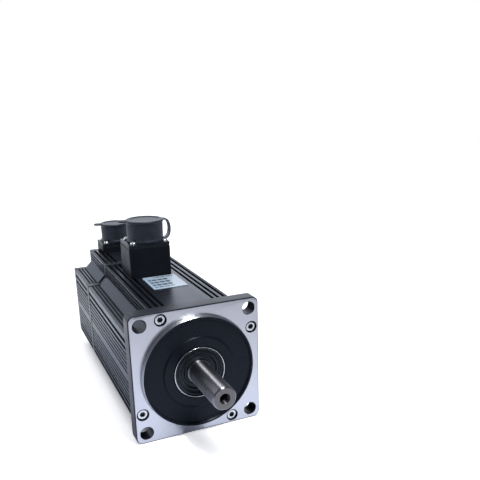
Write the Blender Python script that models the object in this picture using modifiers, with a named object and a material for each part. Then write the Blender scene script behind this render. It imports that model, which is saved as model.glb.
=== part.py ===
"""AC servo motor, 110 mm flange size, with two plug-in connectors on top.

The shaft runs along Y and points towards -Y, +Z is up and the origin is on
the ground under the middle of the motor.  Lengths below are in millimetres
and are multiplied by MM where they meet Blender, which works in metres.
Y positions are counted from the flange's front face (0), backwards (+).
"""
import math

import bmesh
import bpy
from mathutils import Matrix, Vector

for old in list(bpy.data.objects):
    bpy.data.objects.remove(old, do_unlink=True)

# ------------------------------------------------------------------ dimensions
MM = 0.001
AXIS_Z = 55.0            # shaft height above the ground
Y_FLANGE = -94.0         # flange front face in the model's own Y
GAP = 0.3                # clearance between pieces that touch

FLANGE_SQ = 110.0        # flange, square
FLANGE_T = 13.0
FLANGE_CORNER_R = 5.5
FLANGE_CHAMFER = 0.9
BOLT_XZ = 45.96          # mounting holes, on a 130 mm circle
BOLT_R = 5.5
PILOT_R = 47.5           # centring spigot, 95 mm
PILOT_H = 5.0
SCREW_A, SCREW_B = 29.05, 48.2   # flange screws, placed like a pinwheel
CBORE_R, CBORE_D = 5.0, 6.4

BODY_HALF = 53.75        # half width over the fins
FACE_HALF = 35.0         # half width of each finned face
FACE_LOW = 36.4          # the side faces reach a little lower than high
NOTCH_BEVEL = 7.0        # bevel in the inner corner of each corner notch
PLATE_BEVEL = 5.3
FIN_DEPTH = 3.0
BORE_R = 45.0

Y_HOUSING = (FLANGE_T + GAP, 159.7)
Y_SHIELD_NECK = 160.0
Y_SHIELD = (162.0, 170.0)
Y_ENC = (170.3, 231.7)
Y_COVER = (232.0, 240.0)
TIE_R = 49.8             # tie bolts on the diagonals

SHAFT_R = 9.5
SHAFT_OUT = 55.0
SEAT_R = 10.0
BRG_F = dict(y=(6.0, 20.0), ri=10.3, ro=23.5, pitch=16.9, ball=3.9, n=8)
BRG_R = dict(y=(148.0, 160.0), ri=8.8, ro=20.0, pitch=14.4, ball=3.3, n=8)

STATOR_Y = (36.0, 130.0)
STATOR_RI = 26.2
SLOTS = 12
ROTOR_Y = (38.0, 128.0)
ROTOR_R = 21.6
MAGNETS = 8
MAGNET_T = 3.2

# connector positions: centre x, front y, width, depth
PWR = dict(x=-4.2, y=101.5, w=37.6, d=32.0, base=27.3, cap_r=17.0, cap_top=105.5)
ENC = dict(x=-8.2, y=214.6, w=31.4, d=27.0, base=5.6, cap_r=14.3, cap_top=83.6)

# ------------------------------------------------------------------ scene tree
root_coll = bpy.context.scene.collection
parts = bpy.data.collections.new("servo_motor")
cutters = bpy.data.collections.new("cutters")
root_coll.children.link(parts)
root_coll.children.link(cutters)


def Y(y):
    """Flange-based Y in mm to model Y in metres."""
    return (y + Y_FLANGE) * MM


def Z(z):
    """Height over the shaft axis in mm to model Z in metres."""
    return (z + AXIS_Z) * MM


MATS = {}


def material(name, rgb, rough, metal):
    if name not in MATS:
        m = bpy.data.materials.new(name)
        m.use_nodes = True
        b = m.node_tree.nodes["Principled BSDF"]
        b.inputs["Base Color"].default_value = (*rgb, 1.0)
        b.inputs["Roughness"].default_value = rough
        b.inputs["Metallic"].default_value = metal
        m.diffuse_color = (*rgb, 1.0)
        MATS[name] = m
    return MATS[name]


ANODISED = ("black_anodised", (0.022, 0.025, 0.032), 0.36, 0.6)
CAST = ("black_painted_casting", (0.018, 0.02, 0.026), 0.42, 0.3)
MACHINED = ("machined_aluminium", (0.62, 0.63, 0.68), 0.28, 1.0)
STEEL = ("ground_steel", (0.42, 0.43, 0.45), 0.2, 1.0)
ZINC = ("zinc_plated_steel", (0.6, 0.62, 0.62), 0.3, 1.0)
RUBBER = ("black_rubber", (0.03, 0.032, 0.045), 0.55, 0.0)
LAMINATION = ("electrical_steel", (0.25, 0.26, 0.28), 0.45, 1.0)
COPPER = ("enamelled_copper", (0.45, 0.16, 0.05), 0.4, 0.8)
NEODYMIUM = ("nickel_plated_magnet", (0.5, 0.5, 0.48), 0.3, 1.0)
BOARD = ("green_circuit_board", (0.02, 0.13, 0.05), 0.5, 0.0)
LABEL = ("printed_label", (0.62, 0.7, 0.8), 0.5, 0.0)
INSULATOR = ("black_insulator", (0.02, 0.02, 0.02), 0.5, 0.0)


def register(ob, mat, coll=parts):
    ob.data.materials.clear()
    ob.data.materials.append(material(*mat))
    for c in list(ob.users_collection):
        c.objects.unlink(ob)
    coll.objects.link(ob)
    return ob


def smooth(me, angle=35.0):
    me.shade_smooth()
    me.set_sharp_from_angle(angle=math.radians(angle))


def mesh_object(name, bm, mat, coll=parts, angle=35.0):
    me = bpy.data.meshes.new(name)
    bmesh.ops.recalc_face_normals(bm, faces=bm.faces)
    bm.to_mesh(me)
    bm.free()
    smooth(me, angle)
    return register_new(name, me, mat, coll)


def register_new(name, me, mat, coll=parts):
    ob = bpy.data.objects.new(name, me)
    coll.objects.link(ob)
    me.materials.clear()
    me.materials.append(material(*mat))
    if coll is cutters:
        ob.hide_render = True
        ob.display_type = "WIRE"
    return ob


def prism(name, loops, h0, h1, mat, axis="Y", coll=parts, bevel=0.0, angle=35.0):
    """Flat outline(s) extruded along Y (points are x, z) or Z (points are x, y)."""
    cu = bpy.data.curves.new(name + "_outline", "CURVE")
    cu.dimensions = "2D"
    cu.fill_mode = "BOTH"
    cu.extrude = abs(h1 - h0) * 0.5 * MM
    for loop in loops:
        sp = cu.splines.new("POLY")
        sp.points.add(len(loop) - 1)
        for p, (a, b) in zip(sp.points, loop):
            p.co = (a * MM, b * MM, 0.0, 1.0)
        sp.use_cyclic_u = True
    ob = bpy.data.objects.new(name + "_outline", cu)
    cutters.objects.link(ob)
    mid = 0.5 * (h0 + h1)
    if axis == "Y":
        ob.rotation_euler = (math.radians(90), 0, 0)
        ob.location = (0, Y(mid), Z(0))
    else:
        ob.location = (0, Y(0), Z(mid))
    bpy.context.view_layer.update()
    dg = bpy.context.evaluated_depsgraph_get()
    me = bpy.data.meshes.new_from_object(ob.evaluated_get(dg))
    mw = ob.matrix_world.copy()
    bpy.data.objects.remove(ob, do_unlink=True)
    bm = bmesh.new()
    bm.from_mesh(me)
    bmesh.ops.remove_doubles(bm, verts=bm.verts, dist=1e-6)
    bmesh.ops.recalc_face_normals(bm, faces=bm.faces)
    bm.to_mesh(me)
    bm.free()
    me.name = name
    new = register_new(name, me, mat, coll)
    new.matrix_world = mw
    if bevel:
        b = new.modifiers.new("edges", "BEVEL")
        b.width = bevel * MM
        b.segments = 1
        b.limit_method = "ANGLE"
        b.angle_limit = math.radians(60)
        b.harden_normals = False
    smooth(me, angle)
    return new


def extrusion(name, outline, y0, y1, mat, coll=parts):
    """Extruded section along Y: the outline is filled as one face and pushed back."""
    bm = bmesh.new()
    vs = [bm.verts.new((x * MM, Y(y0), Z(z))) for x, z in outline]
    edges = [bm.edges.new((vs[i], vs[(i + 1) % len(vs)])) for i in range(len(vs))]
    filled = bmesh.ops.contextual_create(bm, geom=edges)["faces"]
    pushed = bmesh.ops.extrude_face_region(bm, geom=filled)["geom"]
    bmesh.ops.translate(bm, verts=[g for g in pushed if isinstance(g, bmesh.types.BMVert)],
                        vec=(0.0, (y1 - y0) * MM, 0.0))
    return mesh_object(name, bm, mat, coll)


def turned(name, profile, mat, steps=48, at=(0.0, None, 0.0), axis="Y", closed=False,
           coll=parts, angle=35.0):
    """Turned shape.  profile is (radius, position): positions are flange-based Y
    for axis Y and heights over the shaft axis for axis Z.  The outer side runs
    from the front (or the top) to the back (or the bottom)."""
    me = bpy.data.meshes.new(name)
    pts = []
    for r, h in profile:
        z = -(h + Y_FLANGE) if axis == "Y" else (h + AXIS_Z)
        pts.append((r * MM, 0.0, z * MM))
    n = len(pts)
    edges = [(i, i + 1) for i in range(n - 1)]
    if closed:
        edges.append((n - 1, 0))
    me.from_pydata(pts, edges, [])
    ob = register_new(name, me, mat, coll)
    if axis == "Y":
        ob.rotation_euler = (math.radians(90), 0, 0)
        ob.location = (at[0] * MM, 0, Z(at[2]))
    else:
        ob.location = (at[0] * MM, Y(at[1]), 0)
    s = ob.modifiers.new("turn", "SCREW")
    s.steps = steps
    s.render_steps = steps
    s.use_merge_vertices = True
    s.merge_threshold = 1e-5
    s.use_smooth_shade = True
    w = ob.modifiers.new("weld", "WELD")
    w.merge_threshold = 1e-5
    return ob


def rods(name, places, r, h0, h1, mat, axis="Y", seg=24, coll=cutters, hexed=False):
    """Plain cylinders, one at each place, as one cutter or one part."""
    bm = bmesh.new()
    n = 6 if hexed else seg
    for a, b in places:
        if axis == "Y":
            m = Matrix.Translation((a * MM, Y(0.5 * (h0 + h1)), Z(b))) @ Matrix.Rotation(math.radians(90), 4, "X")
        else:
            m = Matrix.Translation((a * MM, Y(b), Z(0.5 * (h0 + h1))))
        bmesh.ops.create_cone(bm, cap_ends=True, cap_tris=False, segments=n,
                              radius1=r * MM, radius2=r * MM, depth=abs(h1 - h0) * MM, matrix=m)
    return mesh_object(name, bm, mat, coll)


def block(name, x, y, z, mat, coll=parts, bevel=0.0, seg=1):
    """Box from (low, high) pairs; y is flange-based, z over the shaft axis."""
    bm = bmesh.new()
    c = Matrix.Translation((0.5 * (x[0] + x[1]) * MM, Y(0.5 * (y[0] + y[1])), Z(0.5 * (z[0] + z[1]))))
    s = Matrix.Diagonal(((x[1] - x[0]) * MM, (y[1] - y[0]) * MM, (z[1] - z[0]) * MM, 1.0))
    bmesh.ops.create_cube(bm, size=1.0, matrix=c @ s)
    ob = mesh_object(name, bm, mat, coll)
    if bevel:
        b = ob.modifiers.new("edges", "BEVEL")
        b.width = bevel * MM
        b.segments = seg
        b.limit_method = "ANGLE"
        b.angle_limit = math.radians(60)
    return ob


def boolean(ob, other, op="DIFFERENCE"):
    m = ob.modifiers.new(op.lower(), "BOOLEAN")
    m.operation = op
    m.solver = "EXACT"
    m.object = other
    if other.name not in cutters.objects:
        for c in list(other.users_collection):
            c.objects.unlink(other)
        cutters.objects.link(other)
    other.hide_render = True
    other.display_type = "WIRE"
    return m


def rounded(cx, cy, w, d, r, n=4):
    """Rounded rectangle, counterclockwise."""
    out = []
    for k, (sx, sy) in enumerate(((1, 1), (-1, 1), (-1, -1), (1, -1))):
        ax, ay = cx + sx * (w / 2 - r), cy + sy * (d / 2 - r)
        for i in range(n + 1):
            t = math.radians(90 * k + 90 * i / n)
            out.append((ax + r * math.cos(t), ay + r * math.sin(t)))
    return out


def ring_points(r, n, a0=0.0):
    return [(r * math.cos(a0 + 2 * math.pi * i / n), r * math.sin(a0 + 2 * math.pi * i / n)) for i in range(n)]


# ------------------------------------------------------- finned body outlines
SIDE_FINE = [17.3 - 4.05 * k for k in range(5)] + [-8.0 - 4.0 * k for k in range(5)]
SIDE_WIDE = [28.3, 22.1, -28.3, -33.4]
TOP_WIDE = [21.4, 26.1, 31.2]


def body_outline(half, bevel, fins=True, depth=FIN_DEPTH):
    """Outline of the body, seen from the front, counterclockwise from the top."""
    pts = []

    def face(to_xz, lo, hi, slots):
        """A face walked from hi to lo along its own coordinate t."""
        pts.append(to_xz(hi, half))
        for t, w in sorted(slots, reverse=True) if fins else []:
            pts.append(to_xz(t + w / 2, half))
            pts.append(to_xz(t + w / 2, half - depth))
            pts.append(to_xz(t - w / 2, half - depth))
            pts.append(to_xz(t - w / 2, half))
        pts.append(to_xz(lo, half))

    def notch(sx, sz, zf, from_top):
        """A corner notch: wall, bevel, ledge (or the other way round)."""
        wall = [(sx * FACE_HALF, sz * half)]
        seq = []
        if fins:
            for k in range(3):
                z = half - 3.0 - 3.1 * k
                seq += [(FACE_HALF, z + 0.8), (FACE_HALF - 1.3, z + 0.8), (FACE_HALF - 1.3, z - 0.8), (FACE_HALF, z - 0.8)]
        seq += [(FACE_HALF, zf + bevel), (FACE_HALF + bevel, zf)]
        if fins:
            for k in range(3):
                x = FACE_HALF + bevel + 1.6 + 3.2 * k
                seq += [(x - 0.8, zf), (x - 0.8, zf - 1.3), (x + 0.8, zf - 1.3), (x + 0.8, zf)]
        if not from_top:
            seq = seq[::-1]
        return [(sx * a, sz * b) for a, b in seq]

    top = [(s * t, 2.4) for t in TOP_WIDE for s in (1, -1)]
    side = [(t, 1.7) for t in SIDE_FINE] + [(t, 3.0) for t in SIDE_WIDE]
    face(lambda t, n: (t, n), -FACE_HALF, FACE_HALF, top)                # top
    pts.extend(notch(-1, 1, FACE_HALF, True))
    face(lambda t, n: (-n, t), -FACE_LOW, FACE_HALF, side)               # left
    pts.extend(notch(-1, -1, FACE_LOW, False))
    face(lambda t, n: (-t, -n), -FACE_HALF, FACE_HALF, top)              # bottom
    pts.extend(notch(1, -1, FACE_LOW, True))
    face(lambda t, n: (n, -t), -FACE_HALF, FACE_LOW, [(-t, w) for t, w in side])   # right
    pts.extend(notch(1, 1, FACE_HALF, False))
    return pts


FLANGE_SCREWS = [(-SCREW_A, SCREW_B), (SCREW_B, SCREW_A), (SCREW_A, -SCREW_B), (-SCREW_B, -SCREW_A)]
DIAG = TIE_R / math.sqrt(2)
TIES = [(DIAG, DIAG), (-DIAG, DIAG), (-DIAG, -DIAG), (DIAG, -DIAG)]
MOUNT_HOLES = [(sx * BOLT_XZ, sz * BOLT_XZ) for sx in (-1, 1) for sz in (-1, 1)]

# ---------------------------------------------------------------- front flange
flange = prism("front_flange", [rounded(0, 0, FLANGE_SQ, FLANGE_SQ, FLANGE_CORNER_R, 5)],
               0.0, FLANGE_T, CAST, bevel=0.0)
chamfer = flange.modifiers.new("front_edge", "BEVEL")
chamfer.width = FLANGE_CHAMFER * MM
chamfer.segments = 1
chamfer.limit_method = "ANGLE"
chamfer.angle_limit = math.radians(60)
boss = turned("flange_turning", [
    (0.0, -3.0), (BORE_R - 15.0, -PILOT_H + 0.4), (BORE_R - 15.0, -3.2), (45.3, -3.2), (45.3, -PILOT_H),
    (PILOT_R - 0.5, -PILOT_H), (PILOT_R, -PILOT_H + 0.5), (PILOT_R, 2.0), (BORE_R - GAP, 5.0),
    (BORE_R - GAP, 17.0), (29.0, 17.0), (29.0, 21.0), (0.0, 21.0)], CAST, steps=40, coll=cutters)
boolean(flange, boss, "UNION")
bore = turned("flange_bore", [
    (0.0, -7.0), (21.9, -7.0), (21.9, 3.2), (12.5, 3.2), (12.5, 5.7),
    (BRG_F["ro"] + GAP, 5.7), (BRG_F["ro"] + GAP, 23.0), (0.0, 23.0)], MACHINED, steps=28, coll=cutters)
boolean(flange, bore)
boolean(flange, rods("flange_mount_holes", MOUNT_HOLES, BOLT_R, -2, 15, MACHINED, seg=20))
boolean(flange, rods("flange_screw_holes", FLANGE_SCREWS, 2.9, 3, 15, MACHINED, seg=10))
boolean(flange, rods("flange_counterbores", FLANGE_SCREWS, CBORE_R, -1, CBORE_D, MACHINED, seg=16))

# --------------------------------------------------------------- finned bodies
OUTLINE = body_outline(BODY_HALF, NOTCH_BEVEL)
PLAIN = body_outline(BODY_HALF, PLATE_BEVEL, fins=False)

housing = extrusion("stator_housing", OUTLINE, *Y_HOUSING, ANODISED)
boolean(housing, rods("housing_bore", [(0.0, 0.0)], BORE_R, 0, 170, MACHINED, seg=40))
boolean(housing, rods("housing_screw_holes", FLANGE_SCREWS, 2.45, 10, 30, MACHINED, seg=8))
boolean(housing, rods("housing_tie_holes", TIES, 2.3, 145, 162, MACHINED, seg=8))
boolean(housing, rods("housing_wire_hole", [(PWR["x"], PWR["y"] + PWR["d"] / 2)], 7.0, 40, 60, MACHINED, axis="Z", seg=20))

shield = extrusion("rear_end_shield", PLAIN, *Y_SHIELD, CAST)
hub = turned("shield_turning", [
    (0.0, 146.5), (24.0, 146.5), (24.0, 154.0), (40.0, 154.0), (40.0, 152.0), (BORE_R - GAP, 152.0),
    (BORE_R - GAP, 166.0), (0.0, 166.0)], CAST, steps=36, coll=cutters)
boolean(shield, hub, "UNION")
neck = extrusion("shield_neck", [(x * 0.965, z * 0.965) for x, z in PLAIN], Y_SHIELD_NECK, 166.0, CAST, coll=cutters)
boolean(shield, neck, "UNION")
shield_bore = turned("shield_bore", [
    (0.0, 144.0), (BRG_R["ro"] + GAP, 144.0), (BRG_R["ro"] + GAP, 162.4), (14.0, 162.4), (14.0, 174.0), (0.0, 174.0)],
    MACHINED, steps=28, coll=cutters)
boolean(shield, shield_bore)
boolean(shield, rods("shield_tie_holes", TIES, 2.5, 150, 174, MACHINED, seg=8))
boolean(shield, rods("shield_wire_hole", [(0.0, 32.0)], 4.0, 150, 174, MACHINED, seg=16))

enc_body = extrusion("encoder_housing", OUTLINE, *Y_ENC, ANODISED)
boolean(enc_body, rods("encoder_bore", [(0.0, 0.0)], BORE_R, 160, 240, MACHINED, seg=40))
boolean(enc_body, rods("encoder_tie_holes", TIES, 2.5, 165, 236, MACHINED, seg=8))
boolean(enc_body, rods("encoder_wire_hole", [(ENC["x"], 224.0)], 5.0, 40, 60, MACHINED, axis="Z", seg=16))

cover = extrusion("rear_cover", PLAIN, *Y_COVER, CAST)
cover_spigot = turned("cover_spigot", [(0.0, 229.0), (BORE_R - GAP, 229.0), (BORE_R - GAP, 236.0), (0.0, 236.0)],
                      CAST, steps=36, coll=cutters)
boolean(cover, cover_spigot, "UNION")
boolean(cover, turned("cover_relief", [(0.0, 226.0), (41.5, 226.0), (41.5, 235.5), (0.0, 235.5)], MACHINED, steps=36, coll=cutters))
boolean(cover, rods("cover_tie_holes", TIES, 2.5, 230, 244, MACHINED, seg=8))
boolean(cover, rods("cover_counterbores", TIES, 3.9, 235.4, 244, MACHINED, seg=16))


# ------------------------------------------------------------------- fasteners
def cap_screw(name, x, z, y_under, head_r, head_h, shank_r, length, outward, mat=ZINC, hex_r=2.3, hex_d=2.4):
    """Socket head cap screw; outward -1 faces the front, +1 the back."""
    s = outward
    prof = [(0.0, y_under + s * head_h), (head_r - 0.4, y_under + s * head_h), (head_r, y_under + s * (head_h - 0.4)),
            (head_r, y_under), (shank_r, y_under), (shank_r, y_under - s * length), (0.0, y_under - s * length)]
    if s > 0:
        prof = prof[::-1]
    ob = turned(name, prof, mat, steps=12, at=(x, None, z))
    y0, y1 = y_under + s * (head_h - hex_d), y_under + s * (head_h + 2)
    boolean(ob, rods(name + "_socket", [(x, z)], hex_r, min(y0, y1), max(y0, y1), mat, hexed=True))
    return ob


for i, (x, z) in enumerate(FLANGE_SCREWS):
    cap_screw("flange_screw_%d" % (i + 1), x, z, CBORE_D - GAP, 4.25, 5.0, 2.15, 20.0, -1)
for i, (x, z) in enumerate(TIES):
    cap_screw("tie_bolt_%d" % (i + 1), x, z, 235.4 + GAP, 3.5, 4.0, 2.0, 84.0, +1, hex_r=1.8, hex_d=2.2)

# ------------------------------------------------------------------ rotor shaft
shaft = turned("rotor_shaft", [
    (0.0, -SHAFT_OUT), (SHAFT_R - 1.0, -SHAFT_OUT), (SHAFT_R, -SHAFT_OUT + 1.0), (SHAFT_R, -3.9), (SEAT_R, -3.6),
    (SEAT_R, 20.3), (13.0, 20.3), (13.0, 30.0), (14.0, 30.0), (14.0, 136.0), (11.5, 136.0), (11.5, 147.7), (8.5, 147.7),
    (8.5, 163.0), (4.0, 164.0), (4.0, 184.0), (0.0, 184.0)], STEEL, steps=24)
boolean(shaft, turned("shaft_centre", [
    (0.0, -SHAFT_OUT - 1.0), (4.3, -SHAFT_OUT - 1.0), (3.3, -SHAFT_OUT + 0.6), (3.3, -SHAFT_OUT + 17.0), (0.0, -SHAFT_OUT + 18.5)],
    STEEL, steps=12, coll=cutters))

turned("rotor_core", [(14.3, ROTOR_Y[0]), (ROTOR_R, ROTOR_Y[0]), (ROTOR_R, ROTOR_Y[1]), (14.3, ROTOR_Y[1])],
       LAMINATION, steps=28, closed=True)

for k in range(MAGNETS):
    a0 = 2 * math.pi * k / MAGNETS
    half = math.pi / MAGNETS - math.radians(2.2)
    n = 3
    inner = [((ROTOR_R + GAP) * math.cos(a0 + half * (2 * i / n - 1)), (ROTOR_R + GAP) * math.sin(a0 + half * (2 * i / n - 1))) for i in range(n + 1)]
    outer = [((ROTOR_R + GAP + MAGNET_T) * math.cos(a0 + half * (1 - 2 * i / n)), (ROTOR_R + GAP + MAGNET_T) * math.sin(a0 + half * (1 - 2 * i / n))) for i in range(n + 1)]
    prism("rotor_magnet_%d" % (k + 1), [(inner + outer)[::-1]], *ROTOR_Y, NEODYMIUM)


# --------------------------------------------------------------------- bearings
def bearing(tag, d):
    y0, y1 = d["y"]
    ym, p, rb = 0.5 * (y0 + y1), d["pitch"], d["ball"]
    shoulder_i, shoulder_o = p - 0.45 * rb, p + 0.45 * rb
    g = rb + 0.55                                     # depth of the ball groove
    lip, floor = rb * 1.1, rb * 0.6                   # half widths of the groove

    def groove(shoulder, bottom):
        return [(shoulder, ym - lip), (bottom, ym - floor), (bottom, ym + floor), (shoulder, ym + lip)]

    gi, go = groove(shoulder_i, p - g), groove(shoulder_o, p + g)
    turned(tag + "_bearing_inner_ring", [(d["ri"], y0), (shoulder_i, y0)] + gi + [(shoulder_i, y1), (d["ri"], y1)],
           STEEL, steps=24, closed=True)
    turned(tag + "_bearing_outer_ring", [(shoulder_o, y0), (d["ro"], y0), (d["ro"], y1), (shoulder_o, y1)] + go[::-1],
           STEEL, steps=24, closed=True)
    cage = turned(tag + "_ball_cage", [(p - 0.9, ym - 1.2), (p + 0.9, ym - 1.2), (p + 0.9, ym + 1.2), (p - 0.9, ym + 1.2)],
                  STEEL, steps=16, closed=True)
    cage.data.materials.clear()
    cage.data.materials.append(material(*STEEL))
    bm = bmesh.new()
    for k in range(d["n"]):
        a = 2 * math.pi * (k + 0.5) / d["n"]
        bmesh.ops.create_uvsphere(bm, u_segments=6, v_segments=4, radius=rb * MM,
                                  matrix=Matrix.Translation((p * MM * math.cos(a), Y(ym), Z(p * math.sin(a)))))
    balls = mesh_object(tag + "_balls", bm, STEEL, cutters)
    boolean(cage, balls, "UNION")


bearing("front", BRG_F)
bearing("rear", BRG_R)

# oil seal: steel case with a rubber body that carries the lips
turned("oil_seal_case", [(20.9, -4.7), (21.6, -4.7), (21.6, 2.9), (20.9, 2.9)], ZINC, steps=28, closed=True)
turned("oil_seal", [
    (10.3, -2.4), (12.2, -2.4), (12.8, -0.9), (14.6, -0.9), (15.2, -2.4), (18.6, -2.4), (19.2, -3.2), (20.6, -3.2),
    (20.6, 2.9), (18.8, 2.9), (18.8, 0.8), (10.3, 0.8)], RUBBER, steps=24, closed=True)
turned("wave_washer", [(14.8, 160.7), (19.6, 160.7), (19.6, 161.8), (14.8, 161.8)], STEEL, steps=24, closed=True)

# ------------------------------------------------------------ stator and windings
core_out = ring_points(BORE_R - GAP, 40)
inner = []
for k in range(SLOTS):
    a = 2 * math.pi * k / SLOTS
    pitch = math.pi / SLOTS
    mouth, wide = math.radians(2.2), math.radians(7.8)
    for r, da in ((STATOR_RI, -pitch), (STATOR_RI, -mouth), (STATOR_RI + 1.6, -mouth), (STATOR_RI + 2.6, -wide),
                  (38.6, -wide), (38.6, wide), (STATOR_RI + 2.6, wide), (STATOR_RI + 1.6, mouth), (STATOR_RI, mouth)):
        inner.append((r * math.cos(a + da), r * math.sin(a + da)))
prism("stator_core", [core_out, inner], *STATOR_Y, LAMINATION)

winding = turned("stator_winding", [(30.0, 24.5), (38.2, 24.5), (40.0, 26.5), (40.0, 33.5), (38.2, 35.6), (30.0, 35.6)],
                 COPPER, steps=24, closed=True)
rear_coil = turned("rear_coil_heads", [(30.0, 130.4), (38.2, 130.4), (40.0, 132.4), (40.0, 140.0), (38.2, 142.0), (30.0, 142.0)],
                   COPPER, steps=24, closed=True, coll=cutters)
boolean(winding, rear_coil, "UNION")
bm = bmesh.new()
for k in range(SLOTS):
    a = 2 * math.pi * k / SLOTS
    m = Matrix.Translation((0, 0, Z(0))) @ Matrix.Rotation(-a, 4, "Y") @ Matrix.Translation((34.2 * MM, Y(83.2), 0)) \
        @ Matrix.Diagonal((6.0 * MM, 112.0 * MM, 6.4 * MM, 1.0))
    bmesh.ops.create_cube(bm, size=1.0, matrix=m)
bars = mesh_object("slot_bundles", bm, COPPER, cutters)
boolean(winding, bars, "UNION")

# ---------------------------------------------------------------------- encoder
turned("encoder_mount", [(31.0, 170.3), (36.0, 170.3), (36.0, 173.0), (33.5, 173.0), (33.5, 189.7), (31.0, 189.7)],
       CAST, steps=28, closed=True)
turned("encoder_hub", [(4.3, 176.0), (11.0, 176.0), (11.0, 181.0), (7.0, 181.0), (7.0, 183.6), (4.3, 183.6)],
       MACHINED, steps=20, closed=True)
turned("encoder_disc", [(7.3, 181.5), (22.0, 181.5), (22.0, 182.7), (7.3, 182.7)], ("code_disc_glass", (0.6, 0.65, 0.7), 0.1, 0.0),
       steps=28, closed=True)
board = turned("encoder_board", [(0.0, 190.0), (33.0, 190.0), (33.0, 191.6), (0.0, 191.6)], BOARD, steps=24)
block("encoder_reader", (13.0, 23.0), (184.4, 189.7), (-5.0, 5.0), INSULATOR, bevel=0.4)

# ---------------------------------------------------------------- label on top
prism("nameplate", [rounded(0.5, 79.8, 31.0, 39.0, 1.5, 3)], BODY_HALF + 0.3, BODY_HALF + 0.8, LABEL, axis="Z")


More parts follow.
